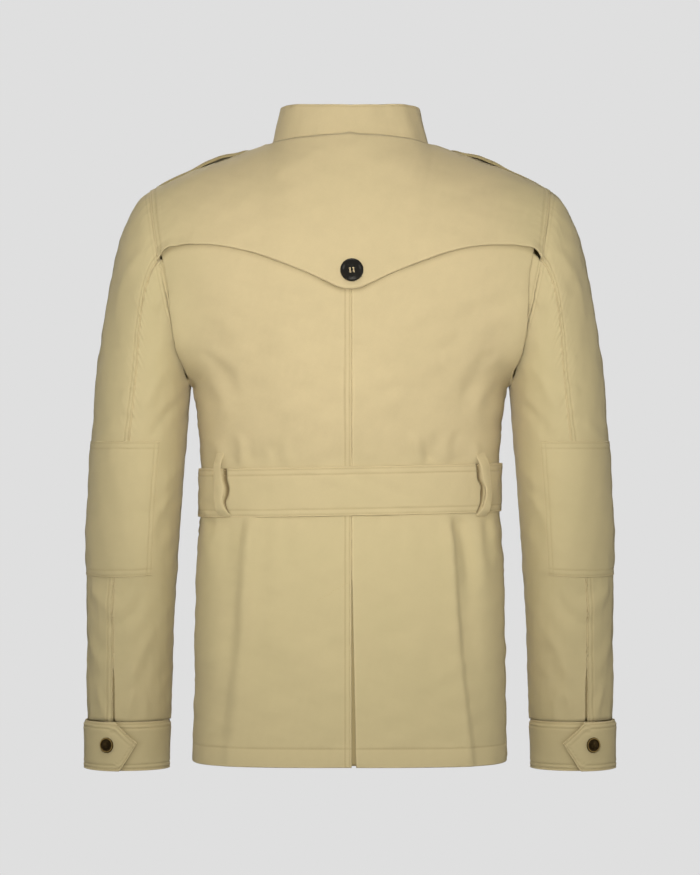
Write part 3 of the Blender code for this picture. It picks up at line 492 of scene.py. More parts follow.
class Value:
    """A shader socket that can be reckoned with like a number."""

    def __init__(self, tree, socket):
        self.tree = tree
        self.socket = socket

    def reckon(self, operation, *others):
        node = self.tree.nodes.new("ShaderNodeMath")
        node.operation = operation
        for slot, item in zip(node.inputs, (self, *others)):
            if isinstance(item, Value):
                self.tree.links.new(item.socket, slot)
            else:
                slot.default_value = item
        return Value(self.tree, node.outputs[0])

    def __add__(self, other):
        return self.reckon("ADD", other)

    def __sub__(self, other):
        return self.reckon("SUBTRACT", other)

    def __mul__(self, other):
        return self.reckon("MULTIPLY", other)

    def __rsub__(self, other):
        return self.reckon("MULTIPLY", -1.0).reckon("ADD", other)

    __radd__ = __add__
    __rmul__ = __mul__

    def sin(self):
        return self.reckon("SINE")

    def clipped(self):
        node = self.tree.nodes.new("ShaderNodeClamp")
        self.tree.links.new(self.socket, node.inputs["Value"])
        return Value(self.tree, node.outputs[0])


class Finish:
    """A material, with one way of making any node in it."""

    def __init__(self, name):
        self.material = bpy.data.materials.new(name)
        self.material.use_nodes = True
        self.tree = self.material.node_tree
        self.surface = self.tree.nodes["Principled BSDF"]

    def node(self, kind, settings=None, output=0, **inputs):
        made = self.tree.nodes.new(kind)
        for name, value in (settings or {}).items():
            setattr(made, name, value)
        for name, value in inputs.items():
            self.feed(made, name.replace("_", " "), value)
        return Value(self.tree, made.outputs[output])

    def feed(self, node, name, value):
        slot = node.inputs[int(name[1:])] if name[0] == "i" and name[1:].isdigit() else node.inputs[name]
        if isinstance(value, Value):
            self.tree.links.new(value.socket, slot)
        else:
            slot.default_value = value

    def set(self, **inputs):
        for name, value in inputs.items():
            self.feed(self.surface, name.replace("_", " "), value)

    def place(self, kind="Object", scale=(1.0, 1.0, 1.0)):
        where = self.node("ShaderNodeTexCoord", output=kind)
        return self.node("ShaderNodeMapping", Vector=where, Scale=scale)

    def parts(self, where):
        """The x, y and z of a place."""
        split = self.node("ShaderNodeSeparateXYZ", Vector=where)
        return [Value(self.tree, part) for part in split.socket.node.outputs]

    def noise(self, where, scale, detail=2.0, roughness=0.5):
        return self.node("ShaderNodeTexNoise", Vector=where, Scale=scale, Detail=detail, Roughness=roughness)

    def blend(self, share, first, second):
        settings = {"data_type": "RGBA", "clamp_factor": True}
        return self.node("ShaderNodeMix", settings, 2, i0=share, i6=first, i7=second)

    def attribute(self, name):
        return self.node("ShaderNodeAttribute", {"attribute_name": name, "attribute_type": "GEOMETRY"}, 2)

    def bump(self, height, strength, distance):
        return self.node("ShaderNodeBump", Height=height, Strength=strength, Distance=distance)


def shade(colour, factor, warmth=0.0):
    """A colour made lighter or darker, and warmer as less of its green and blue is left."""
    kept = (1.0, 1.0 - 0.4 * warmth, 1.0 - warmth)
    return (*(min(1.0, part * factor * share) for part, share in zip(colour, kept)), 1.0)


KHAKI = (0.560, 0.468, 0.276)
# A darker copy of the khaki: painted shade for cloth seen only in the shadow of a gap, the vent's underlay and the
# sleeve plackets.
KHAKI_SHADED = (0.44, 0.35, 0.185)
# A much darker copy of the khaki: painted shade for the straps, seen edge-on along the tops of the shoulders.
STRAP_SHADED_KHAKI = (0.33, 0.275, 0.145)
THREAD = (0.50, 0.40, 0.205)
# Tint of the painted light on the sleeves, the sides and the skirt.
OLIVE_SHADE_SHARE = (0.93, 0.99, 0.92, 1.0)
TWILL_PITCH = 0.00075
WEFT_PITCH = 0.0005


def cloth_finish(name, colour, weave=1.0):
    """Close-woven cotton: slightly uneven dye, painted highlights on ridges, painted shade in stitch grooves and at
    edges, and a fine twill.
    """
    finish = Finish(name)
    where = finish.place("Object")
    broad = finish.noise(where, 9.0, 3.0)
    mottle = finish.noise(where, 62.0, 4.0, 0.6)
    thread = finish.place("UV", (260.0, 1900.0, 1.0))
    slub = finish.noise(thread, 1.0, 2.0)
    cross = finish.noise(finish.place("UV", (1900.0, 260.0, 1.0)), 1.0, 2.0)
    # Per-vertex strengths of painted highlight and painted shade, set where each sheet is made.
    wear_and_highlight = finish.attribute("wear_and_highlight")
    dark = finish.attribute("groove")
    tone = 0.5 + (broad - 0.5) * 0.55 + (mottle - 0.5) * 0.5 + (slub - 0.5) * 0.35 + (cross - 0.5) * 0.3
    base = finish.blend(tone.clipped(), shade(colour, 0.90), shade(colour, 1.10))
    # The sleeves, the sides and the skirt are tinted a little greener and darker than the middle of the back: painted
    # colour of the dimmer, greener light that falls there.
    aside, _, level = finish.parts(where)
    outlying = ((aside * aside - 0.022) * 40.0).clipped() + ((-0.34 - level) * 8.0).clipped()
    olive = tuple(part * share for part, share in zip(shade(colour, 1.0), OLIVE_SHADE_SHARE))
    base = finish.blend((outlying.clipped() - (broad - 0.5)) * 0.45, base, olive)
    # Painted highlight on ridges, then painted shade, warm brown, in grooves, at edges and under laps.
    base = finish.blend((wear_and_highlight * 0.45).clipped(), base, shade(colour, 1.16))
    base = finish.blend((dark * 0.42).clipped(), base, shade(colour, 0.36, 0.3))
    along, over, _ = finish.parts(finish.place("UV"))
    twill = ((along + over) * (math.tau / TWILL_PITCH)).sin()
    weft = (over * (math.tau / WEFT_PITCH)).sin()
    height = twill * 0.3 + weft * 0.2 + slub * 0.5 + cross * 0.4 + mottle * 0.6
    normal = finish.bump(height * weave, 0.35, 0.00035)
    finish.set(Base_Color=base, Roughness=0.80 + (mottle - 0.5) * 0.12 - wear_and_highlight * 0.06, Normal=normal)
    finish.set(Sheen_Weight=0.22, Sheen_Roughness=0.45, Sheen_Tint=(1.0, 0.93, 0.78, 1.0))
    finish.surface.inputs["Specular IOR Level"].default_value = 0.25
    return finish.material


def thread_finish(name, colour):
    finish = Finish(name)
    twist = finish.noise(finish.place("Object"), 900.0, 1.0)
    finish.set(Base_Color=finish.blend(twist, shade(colour, 0.8), shade(colour, 1.15)), Roughness=0.7)
    finish.set(Sheen_Weight=0.2)
    return finish.material


def button_finish(name):
    """Polished near-black horn with faint brown flecks and fine scuffs."""
    finish = Finish(name)
    where = finish.place("Object")
    fleck = finish.node("ShaderNodeTexNoise", Vector=where, Scale=170.0, Detail=4.0, Roughness=0.7)
    share = ((fleck - 0.60) * 6.0).clipped()
    base = finish.blend(share, (0.008, 0.0075, 0.006, 1.0), (0.045, 0.026, 0.012, 1.0))
    scuff = finish.noise(where, 700.0, 3.0)
    finish.set(Base_Color=base, Roughness=0.10 + scuff * 0.12, Normal=finish.bump(scuff, 0.04, 0.0004))
    finish.set(Coat_Weight=0.6, Coat_Roughness=0.05)
    return finish.material


def brass_finish(name):
    """Antique brass: dark in the hollows and worn bright on the rims."""
    finish = Finish(name)
    where = finish.place("Object")
    grime = finish.noise(where, 420.0, 5.0, 0.65)
    rim = finish.attribute("wear_and_highlight")
    share = (rim * 0.85 + (grime - 0.5) * 0.7).clipped()
    base = finish.blend(share, (0.055, 0.036, 0.016, 1.0), (0.52, 0.36, 0.14, 1.0))
    finish.set(Base_Color=base, Metallic=1.0, Roughness=0.46 - share * 0.16)
    finish.set(Normal=finish.bump(grime, 0.12, 0.0003))
    return finish.material


SHELL = cloth_finish("khaki_cotton", KHAKI)
SHADED_KHAKI_CLOTH = cloth_finish("khaki_cotton_painted_shade", KHAKI_SHADED)
SHADED_STRAP_CLOTH = cloth_finish("khaki_cotton_strap_painted_shade", STRAP_SHADED_KHAKI)
THREAD_MATERIAL = thread_finish("khaki_thread", THREAD)
PALE_THREAD = thread_finish("pale_thread", (0.62, 0.50, 0.30))
HORN = button_finish("black_horn")
AGED_BRASS = brass_finish("aged_brass")


# Making sheets.


def unit(vectors):
    return vectors / np.maximum(np.linalg.norm(vectors, axis=-1, keepdims=True), 1e-9)


def normals_of(points, outward):
    """Unit normals of a grid of points, on the side that `outward` points to at its middle."""
    normal = unit(np.cross(np.gradient(points, axis=0), np.gradient(points, axis=1)))
    middle = tuple(size // 2 for size in points.shape[:2])
    return normal * (1.0 if np.dot(normal[middle], outward) > 0 else -1.0)


def edge_steps(stitched=(), end=16.0):
    """Distances in from an edge: close together over its rolled lip and at each row of stitching."""
    steps = {0.0, 0.35, 0.8, 1.4, 2.2, 3.2}
    for at in stitched:
        steps |= {at - 1.6, at - 0.8, at, at + 0.8, at + 1.6}
    steps |= set(np.arange(max([3.2, *stitched]) + 2.6, end, 2.6))
    steps = sorted(steps)
    kept = [steps[0]]
    for step in steps[1:]:
        if step - kept[-1] > 0.3:
            kept.append(step)
    return np.array(kept)


def between(lengths, first, last, spacing):
    """Distances along lines of several lengths: set steps in from both ends, evenly spaced between."""
    lengths = np.atleast_1d(np.asarray(lengths, float))[:, None]
    count = max(2, int(np.ceil((lengths.max() - first[-1] - last[-1]) / spacing)))
    share = np.linspace(0.0, 1.0, count + 1)[1:-1]
    middle = first[-1] + (lengths - first[-1] - last[-1]) * share
    heads = np.tile(first, (len(lengths), 1))
    return np.concatenate([heads, middle, lengths - np.asarray(last)[::-1]], 1)


def even_columns(place, starts, ends, first, last, spacing):
    """Shares across for each row, with evenly spaced columns on the cloth, and their distances."""
    warp = 1 - (1 - np.linspace(0.0, 1.0, 201)) ** 2.4
    fine = starts[:, None] + (ends - starts)[:, None] * warp
    points = place(fine)
    run = np.linalg.norm(np.diff(points, axis=1), axis=2).cumsum(1)
    run = np.concatenate([np.zeros((len(run), 1)), run], 1)
    at = between(run[:, -1], first, last, spacing)
    shares = np.array([np.interp(a, r, f) for a, r, f in zip(at, run, fine)])
    return shares, at, run[:, -1:]


def lip(distance, roll=1.3):
    """How far a turned edge falls away, at a distance in from it."""
    t = 1 - np.clip(distance / roll, 0.0, 1.0)
    return -roll * (1 - np.sqrt(np.clip(1 - t * t, 0.0, 1.0)))


def groove(distance, at, deep=0.35, half=1.2):
    """The hollow that a row of stitching pulls into the cloth, and the soft ridges beside it."""
    t = (distance - at) / half
    return deep * (0.35 * np.exp(-(((np.abs(t) - 2.0) / 1.1) ** 2)) - np.exp(-t * t))


def tuck(points, normal, share=1.0, reach=2.8, sunk=1.0):
    """Slips a sheet's raw edge, its first column, under the neighbour that it is sewn to."""
    outward = unit(points[:, 0] - points[:, 3])
    amount = np.broadcast_to(share, len(points))[:, None]
    for column_number, out, down in ((0, 1.0, 1.0), (1, 0.2, 0.4)):
        shift = reach * out * outward - sunk * down * normal[:, column_number]
        points[:, column_number] += amount * shift


def stitched_edge(distance, rows=(), roll=1.1, deep=0.35):
    height = lip(distance, roll)
    for at in rows:
        height = height + groove(distance, at, deep)
    return height


def painted_edge_shading(distance, rows=(), edge=0.30):
    """(painted highlight, painted shade) at a distance in from a stitched edge: light on the rolled lip and on the
    ridges beside each row, shade at the very edge and in each row's groove.
    """
    wear_and_highlight = np.exp(-((distance - 0.9) / 0.9) ** 2)
    dark = edge * np.exp(-((distance / 0.5) ** 2))
    for at in rows:
        dark = dark + 0.45 * np.exp(-(((distance - at) / 0.8) ** 2))
        wear_and_highlight = wear_and_highlight + 0.30 * np.exp(-(((np.abs(distance - at) - 1.9) / 0.8) ** 2))
    return wear_and_highlight, dark


def sheet_mesh(name, points, outward, across, down, wear_and_highlight, dark, material, thickness=1.2):
    """A sheet laid on a grid of points in millimetres, with its flat sizes as UV, thickened inward."""
    rows, columns = points.shape[:2]
    bm = bmesh.new()
    row_of = bm.verts.layers.int.new("row")
    column_of = bm.verts.layers.int.new("column")
    grid = bmesh.ops.create_grid(bm, x_segments=columns - 1, y_segments=rows - 1, size=1.0)["verts"]
    for index, vert in enumerate(grid):
        vert[row_of], vert[column_of] = divmod(index, columns)
    # Per-vertex painted highlight and painted shade, for the finish to read.
    layers = [(bm.verts.layers.float.new(word), values) for word, values in (("wear_and_highlight", wear_and_highlight), ("groove", dark))]
    flat = bm.loops.layers.uv.new("cut")
    for vert in bm.verts:
        here = vert[row_of], vert[column_of]
        vert.co = points[here] * MM
        for layer, values in layers:
            vert[layer] = values[here]
    for face in bm.faces:
        for loop in face.loops:
            here = loop.vert[row_of], loop.vert[column_of]
            loop[flat].uv = (across[here] * MM, down[here] * MM)
    bm.normal_update()
    middle = max(bm.faces, key=lambda face: face.calc_area())
    if middle.normal.dot(Vector(outward[middle.verts[0][row_of], middle.verts[0][column_of]])) < 0:
        bmesh.ops.reverse_faces(bm, faces=bm.faces)
    made = add_object(name, bm, material)
    wall = made.modifiers.new("thickness", "SOLIDIFY")
    wall.thickness = thickness * MM
    wall.offset = -1.0
    wall.use_even_offset = False
    return made


def add_object(name, bm, material):
    mesh = bpy.data.meshes.new(name)
    bm.to_mesh(mesh)
    bm.free()
    mesh.shade_smooth()
    made = bpy.data.objects.new(name, mesh)
    bpy.context.scene.collection.objects.link(made)
    made.data.materials.append(material)
    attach(made, "root")
    return made


def grid_lengths(points):
    """Distances run down each column of a grid of points."""
    step = np.linalg.norm(np.diff(points, axis=0), axis=2).cumsum(0)
    return np.concatenate([np.zeros((1, points.shape[1])), step], 0)


# Creases, placed one by one.

# Each crease: x, drop, to x, to drop, bend, half width, height.
BACK_CREASES = (
    # Gathers that the belt holds in.
    (124, 338, 121, 376, 3, 6.0, 2.1),
    (112, 350, 109, 376, -2, 4.5, -1.2),
    (92, 352, 95, 376, 2, 5.0, 1.2),
    (70, 340, 68, 376, -3, 6.0, 1.6),
    (38, 355, 40, 376, 1, 5.0, 0.8),
    (-26, 352, -24, 376, -2, 5.0, 0.9),
    (-70, 336, -74, 376, 3, 6.5, 2.0),
    (-84, 350, -88, 376, 2, 4.5, -1.1),
    (-112, 332, -108, 376, -4, 7.0, 2.0),
    (-140, 345, -136, 376, 2, 6.0, 1.5),
    (150, 345, 146, 376, 2, 6.0, 1.4),
    # Below the belt.
    (165, 424, 161, 482, 2, 5.5, 1.9),
    (152, 424, 151, 465, -1, 4.5, 1.3),
    (139, 424, 142, 500, 3, 6.0, -1.2),
    (110, 424, 118, 545, -3, 10.0, 2.3),
    (84, 424, 88, 500, 2, 9.0, 1.0),
    (60, 424, 58, 480, 2, 8.0, 0.8),
    (-40, 424, -44, 492, 2, 9.0, 0.8),
    (-66, 424, -72, 505, -2, 8.0, 1.0),
    (-108, 424, -122, 560, 4, 8.5, 3.2),
    (-124, 424, -136, 520, 3, 7.0, -2.4),
    (-142, 424, -148, 500, 2, 6.0, 1.4),
    (-160, 424, -163, 480, 0, 5.0, 1.6),
    # Long soft folds of the skirt.
    (118, 520, 131, 700, 4, 12.0, 1.7),
    (-120, 540, -136, 704, 4, 10.0, 2.2),
    (-92, 560, -98, 704, -5, 14.0, -1.2),
    (74, 590, 80, 704, 5, 15.0, -1.1),
    (34, 560, 30, 704, 4, 13.0, 0.9),
    # Drag lines from the armpits and across the back.
    (163, 246, 128, 292, 6, 6.0, -1.6),
    (168, 262, 136, 318, 5, 7.0, 1.5),
    (-160, 244, -126, 300, -6, 6.5, -1.5),
    (-166, 266, -138, 322, -5, 7.0, 1.6),
    (150, 200, 120, 262, 8, 10.0, 1.0),
    (-146, 190, -112, 258, -8, 11.0, -1.0),
    (96, 262, 60, 344, 7, 14.0, 0.9),
    (-104, 270, -52, 344, -7, 14.0, -0.9),
    (30, 226, 20, 330, 5, 16.0, -0.7),
    (-40, 214, -32, 320, -4, 17.0, 0.7),
)
FRONT_CREASES = (
    (118, 340, 116, 376, 3, 6.0, 1.9),
    (92, 350, 90, 376, -2, 5.0, -1.2),
    (66, 346, 62, 376, 2, 6.0, 1.5),
    (-62, 342, -60, 376, -2, 6.0, 1.6),
    (-96, 336, -98, 376, 3, 6.5, 1.9),
    (-134, 348, -130, 376, 2, 5.0, 1.3),
    (146, 350, 144, 376, -2, 5.5, 1.4),
    (120, 424, 126, 520, 3, 8.0, 2.2),
    (152, 424, 156, 470, 1, 5.0, 1.5),
    (84, 424, 92, 540, -4, 10.0, 1.5),
    (-88, 424, -94, 530, 4, 10.0, 1.7),
    (-126, 424, -134, 510, -2, 7.0, 2.0),
    (-156, 424, -158, 476, 1, 5.0, 1.4),
    (126, 540, 134, 704, 5, 12.0, 1.8),
    (-104, 556, -112, 704, -5, 13.0, 1.5),
    (60, 580, 64, 704, 4, 15.0, -1.0),
    (160, 240, 118, 296, 6, 7.0, -1.7),
    (-158, 246, -116, 302, -6, 7.0, 1.6),
    (140, 150, 104, 230, 8, 11.0, 1.1),
    (-136, 156, -100, 236, -8, 11.0, -1.1),
    (92, 250, 54, 336, 7, 14.0, 0.9),
    (-96, 256, -58, 340, -7, 13.0, 0.9),
)
# Each crease: turn, drop, to turn, to drop, bend, half width, height.
SLEEVE_CREASES = (
    # From the cap and the armhole.
    (62, 128, 40, 208, 6, 8.0, 1.0),
    (100, 176, 82, 262, -6, 9.0, -1.1),
    (28, 150, 22, 250, 4, 11.0, 0.8),
    (120, 262, 96, 318, 5, 7.0, 1.3),
    (142, 300, 104, 352, 6, 7.0, -1.2),
    # Short pulls into the back seam.
    (86, 246, 64, 252, 2, 4.0, 0.8),
    (90, 282, 66, 290, 2, 4.0, 0.9),
    (92, 312, 70, 306, -2, 4.0, 0.7),
    (90, 330, 60, 338, 2, 4.5, 0.9),
    # Round the elbow and the forearm.
    (10, 350, 62, 330, 5, 7.0, 1.0),
    (150, 402, 116, 446, 5, 7.0, 1.2),
    (168, 372, 128, 402, 5, 7.0, 1.2),
    (30, 505, 88, 540, 6, 9.0, 1.3),
    (112, 510, 70, 560, -6, 9.0, -1.1),
    (20, 560, 64, 604, 5, 9.0, 1.1),
    (126, 560, 94, 622, 5, 8.0, 1.2),
    (44, 622, 60, 660, 2, 6.0, 0.9),
    (100, 628, 92, 660, 2, 5.0, 1.0),
    (118, 636, 116, 660, 0, 5.0, 0.8),
    # The same kind on the hidden front.
    (250, 150, 284, 226, 5, 9.0, 1.0),
    (214, 286, 256, 342, 6, 8.0, -1.2),
    (300, 330, 246, 372, 6, 8.0, 1.3),
    (210, 392, 262, 426, 5, 8.0, 1.4),
    (318, 410, 262, 452, 6, 9.0, -1.2),
    (228, 470, 290, 512, 6, 9.0, 1.2),
    (300, 560, 250, 616, 5, 9.0, 1.1),
    (280, 626, 276, 660, 0, 6.0, 0.9),
)


def creases(table, x, drop, turn_scale=1.0):
    """Height of the listed creases at places given in the table's own two directions."""
    total = np.zeros(np.shape(x))
    for x0, z0, x1, z1, bend, half, height in table:
        along = np.array([(x1 - x0) * turn_scale, z1 - z0], float)
        length = float(np.hypot(*along))
        along /= length
        dx, dz = (x - x0) * turn_scale, drop - z0
        t = (dx * along[0] + dz * along[1]) / length
        aside = dz * along[0] - dx * along[1] - bend * 4 * t * (1 - t)
        reach = half * (0.75 + 0.5 * np.clip(t, 0.0, 1.0))
        fade = ease(t, -0.12, 0.25) * (1 - ease(t, 0.72, 1.12))
        ridge = np.exp(-((aside / reach) ** 2)) - 0.42 * np.exp(-(((np.abs(aside) - 1.9 * reach) / reach) ** 2))
        total = total + height * fade * ridge
    return total


def rumple(x, z, seed, sizes=((70.0, 0.6), (31.0, 0.36), (14.0, 0.15))):
    """Soft unevenness of pressed cloth: a few crossing waves at each size."""
    draw = np.random.default_rng(seed)
    total = np.zeros(np.shape(x))
    for size, height in sizes:
        for _ in range(5):
            angle, phase = draw.uniform(0, math.tau, 2)
            pitch = math.tau / (size * draw.uniform(0.75, 1.35))
            total = total + height / 2.2 * np.sin(pitch * (x * math.cos(angle) + z * math.sin(angle)) + phase)
    return total


def puckers(run, distance, seed, pitch=9.0, reach=9.0, height=0.35):
    """Short ripples across a seam: run is the distance along it, and distance the one away from it."""
    draw = np.random.default_rng(seed)
    wave = np.zeros(np.shape(run))
    for _ in range(4):
        wave = wave + np.sin(run * math.tau / (pitch * draw.uniform(0.7, 1.5)) + draw.uniform(0, math.tau))
    return height / 2 * wave * np.exp(-np.abs(distance) / reach)


def body_relief(face, points):
    """Height of creases and unevenness on the body, shared by every layer that lies there."""
    x, drop = points[..., 0], -points[..., 2]
    table = BACK_CREASES if face == BACK else FRONT_CREASES
    height = creases(table, x, drop) + rumple(x, drop, 11 if face == BACK else 12)
    fold = column(SKIRT_FOLD, SKIRT_FOLD_COLUMNS, "x", drop)
    deep = column(SKIRT_FOLD, SKIRT_FOLD_COLUMNS, "depth", drop) * (drop > 400)
    if face == BACK:
        # The pleat that hangs on each side of the skirt: a fold that rolls outward, then drops.
        past = np.abs(x) - fold
        share = np.where(x > 0, 0.7, 1.35)
        soft = np.where(x > 0, 15.0, 7.5)
        rolled = np.where(past < 0, 0.5 * np.exp(-((past / 15.0) ** 2)), 0.5 - 1.1 * ease(past / soft, 0.0, 1.0))
        height = height + share * deep * (rolled + 0.6 * ease(past, 8.0, 30.0))
    # The belt draws the cloth in, and nothing stands up under it.
    held = ease(drop, 362, 374) * (1 - ease(drop, 425, 437))
    return height * (1 - 0.85 * held)


# The body's panels.

SPACING = 3.8
SOFTENING_ROUNDS = 36
HEM_STITCH = 21.0
CAPE_ARMHOLE_STITCHES = (2.4, 7.6)
SEAM_STITCHES = (2.0, 7.2)


def body_rows():
    """Row numbers down a body panel, close together at the hem."""
    upper = np.linspace(0.0, 1.0, 42)
    side = 2.0 - np.sqrt(np.linspace(1.0, 0.0, 48))[1:]
    hem = -HEM_Z - edge_steps((HEM_STITCH,), 26.0)[::-1]
    drops = np.linspace(-ARMPIT_Z, hem[0], 118)[1:-1]
    lower = 1 + body_down(-np.concatenate([drops, hem]))
    return np.concatenate([upper, side, lower])


def softened(points, weight, rounds):
    """A grid of points with its sharp bends eased out where the weight says so, its border kept."""
    points = points.copy()
    weight = 0.5 * np.broadcast_to(weight, points.shape[:2])[1:-1, 1:-1, None]
    for _ in range(rounds):
        middle = points[1:-1, 1:-1]
        around = (points[2:, 1:-1] + points[:-2, 1:-1] + points[1:-1, 2:] + points[1:-1, :-2]) / 4
        points[1:-1, 1:-1] = middle + weight * (around - middle)
    return points


def lay(face, shares, downs, lift, extra=0.0, soft=None):
    """Points of a layer on the body, `lift` out from it, with the body's creases."""
    base = body(face, shares, downs)
    if soft is not None:
        base = softened(base, soft, SOFTENING_ROUNDS)
    normal = normals_of(base, (0.0, face, 0.0))
    height = body_relief(face, base) + extra
    return base + normal * (np.asarray(lift) + height)[..., None], normal


def hem_profile(drop):
    distance = -HEM_Z - drop
    return distance, stitched_edge(distance, (HEM_STITCH,), deep=0.3) + 0.25 * ease(-distance, -HEM_STITCH, -8.0)


def near_armpit(rows):
    """How much of each row is softened: the armhole's curve runs into the side seam there."""
    steps = np.arange(len(rows)) - np.argmin(np.abs(rows - 2.0))
    return np.exp(-((steps / 9.0) ** 2))[:, None]


def cape_shade(side, x, drop):
    """Painted shadow on the back under the cape's hem: uneven, and strongest on each side of the cape's point."""
    under = drop - column(CAPE_HEM, CAPE_COLUMNS, "drop", x)
    near = np.exp(-((np.maximum(under, 0.0) / CAPE_SHADE_REACH) ** 2)) * (under > -8.0)
    uneven = 0.5 + 0.5 * np.sin(side * np.abs(x) / 21.0 + 1.1) * np.cos(x / 53.0)
    by_point = np.exp(-(((np.abs(x) - 17.0) / 13.0) ** 2))
    return (0.25 + 0.45 * uneven + 0.5 * by_point) * near


def back_panel(word, side):
    rows = body_rows()
    armhole_downs = row_down(BACK, 1.0, rows)
    edge, proud = pleat_edge(side, armhole_downs)
    edge = np.where(rows < 2, edge, 1.0)
    proud = np.where(rows < 2, proud, 0.0)
    downs_middle = np.maximum(rows - 1, 0.0)
    starts = side * vent_edge(side, downs_middle) / row_width(armhole_downs)
    first = edge_steps(SEAM_STITCHES if side == LEFT else (), 14.0)

    def place(shares):
        return body(BACK, shares, row_down(BACK, shares, rows[:, None]))

    last = edge_steps((5.0,), 14.0)
    shares, at, length = even_columns(place, starts, edge, first, last, SPACING)
    downs = row_down(BACK, shares, rows[:, None])
    base = body(BACK, shares, downs)
    from_edge = length - at
    z_drop = -base[..., 2]
    hem_distance, hem = hem_profile(z_drop)
    folded = ease(rows, 0.9, 1.05) * (1 - ease(rows, 1.75, 1.98))
    seam_rows = SEAM_STITCHES if side == LEFT else ()
    relief = stitched_edge(at, seam_rows, 0.6) + np.where(rows[:, None] > 2.0, hem, 0.0)
    relief = relief + lip(from_edge, 0.5 + 1.6 * folded[:, None])
    run = grid_lengths(base)
    relief = relief + puckers(run, at, 31 + side, 8.0, 8.0, 0.22)
    relief = relief + puckers(run, from_edge, 35 + side, 9.0, 12.0, 0.45) * (1 - 0.5 * folded[:, None])
    lift = proud[:, None] * np.exp(-((from_edge / 21.0) ** 2))
    points, normal = lay(BACK, side * shares, downs, lift, relief, near_armpit(rows))
    if side == RIGHT:
        tuck(points, normal, 1 - ease(-row_height(downs_middle), VENT_TOP_DROP - 4.0, VENT_TOP_DROP + 4.0))
    # Painted highlight and painted shade along the middle edge, the hem and the folded edge.
    wear_and_highlight, dark = painted_edge_shading(at, seam_rows)
    hem_highlight, hem_dark = painted_edge_shading(hem_distance, (HEM_STITCH,))
    below = (rows[:, None] > 2.0).astype(float)
    edge_highlight, edge_dark = painted_edge_shading(from_edge)
    wear_and_highlight, dark = wear_and_highlight + hem_highlight * below + 0.8 * edge_highlight, dark + hem_dark * below + 0.5 * edge_dark
    # Painted shadow under the cape's hem.
    dark = dark + cape_shade(side, base[..., 0], z_drop) * (rows[:, None] < 2.0)
    name = f"back_{word}_cloth"
    made = sheet_mesh(name, points, normal, at, run, wear_and_highlight, dark, SHELL)
    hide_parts(f"back_panel_{word}")
    threads = []
    for inset in seam_rows:
        threads.append(follow(points, normal, at, inset, axis=1, keep=(rows > 1.0) & (rows < 3.0)))
    threads.append(follow(points, normal, -HEM_Z - z_drop, HEM_STITCH, axis=0))
    if side == LEFT:
        threads.append(vent_tack(points, normal, at, z_drop))
    stitch(f"back_{word}_stitches", threads)
    return made


def vent_tack(points, normal, at, drop):
    """The slanting row of stitches that holds the top of the vent, from the seam down and out."""
    path, out = [], []
    for step in np.linspace(0.0, 1.0, 12):
        gap = np.hypot(at - VENT_TACK_REACH * step - 4.0, drop - VENT_TOP_DROP - 6.0 - VENT_TACK_FALL * step)
        nearest = np.unravel_index(np.argmin(gap), gap.shape)
        path.append(points[nearest])
        out.append(normal[nearest])
    return np.array(path), np.array(out)


def follow(points, normal, distance, at, axis, keep=None):
    """The line on a sheet at a set distance from its edge: along axis 1 edges run down the rows."""
    if axis == 1:
        lines, sides, gaps = points, normal, distance
    else:
        lines, sides, gaps = points.transpose(1, 0, 2), normal.transpose(1, 0, 2), distance.T
    path, out = [], []
    for line, facing, gap in zip(lines, sides, gaps):
        order = np.argsort(gap)
        path.append([np.interp(at, gap[order], line[order, k]) for k in range(3)])
        out.append([np.interp(at, gap[order], facing[order, k]) for k in range(3)])
    path, out = np.array(path), np.array(out)
    return (path, out) if keep is None else (path[keep], out[keep])


def back_pleat(word, side):
    """The strip behind the back panel's folded edge, out to the armhole seam."""
    rows = np.linspace(1.0, 1.68, 46)
    armhole_downs = row_down(BACK, 1.0, rows)
    edge, _ = pleat_edge(side, armhole_downs)
    start = np.full(len(rows), 0.86)

    def place(shares):
        return body(BACK, shares, row_down(BACK, shares, rows[:, None]))

    end = np.full(len(rows), PLEAT_OUTER_SHARE)
    last = edge_steps((PLEAT_STITCH,), 9.0)
    shares, at, length = even_columns(place, start, end, np.array([0.0]), last, 3.0)
    downs = row_down(BACK, shares, rows[:, None])
    from_edge = length - at
    outer = ease(shares, edge[:, None], PLEAT_OUTER_SHARE)
    lift = -2.6 + 2.5 * outer
    run = grid_lengths(body(BACK, shares, downs))
    extra = puckers(run, from_edge, 41 + side, 7.0, 9.0, 0.5) + groove(from_edge, PLEAT_STITCH, 0.5)
    points, normal = lay(BACK, side * shares, downs, lift, extra)
    # Painted highlight and painted shade along the stitched armhole edge.
    wear_and_highlight, dark = painted_edge_shading(from_edge, (PLEAT_STITCH,))
    wear_and_highlight = 0.5 * wear_and_highlight
    made = sheet_mesh(f"pleat_{word}_cloth", points, normal, at, run, wear_and_highlight, dark, SHELL, 1.0)
    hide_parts(f"back_pleat_{word}")
    return made


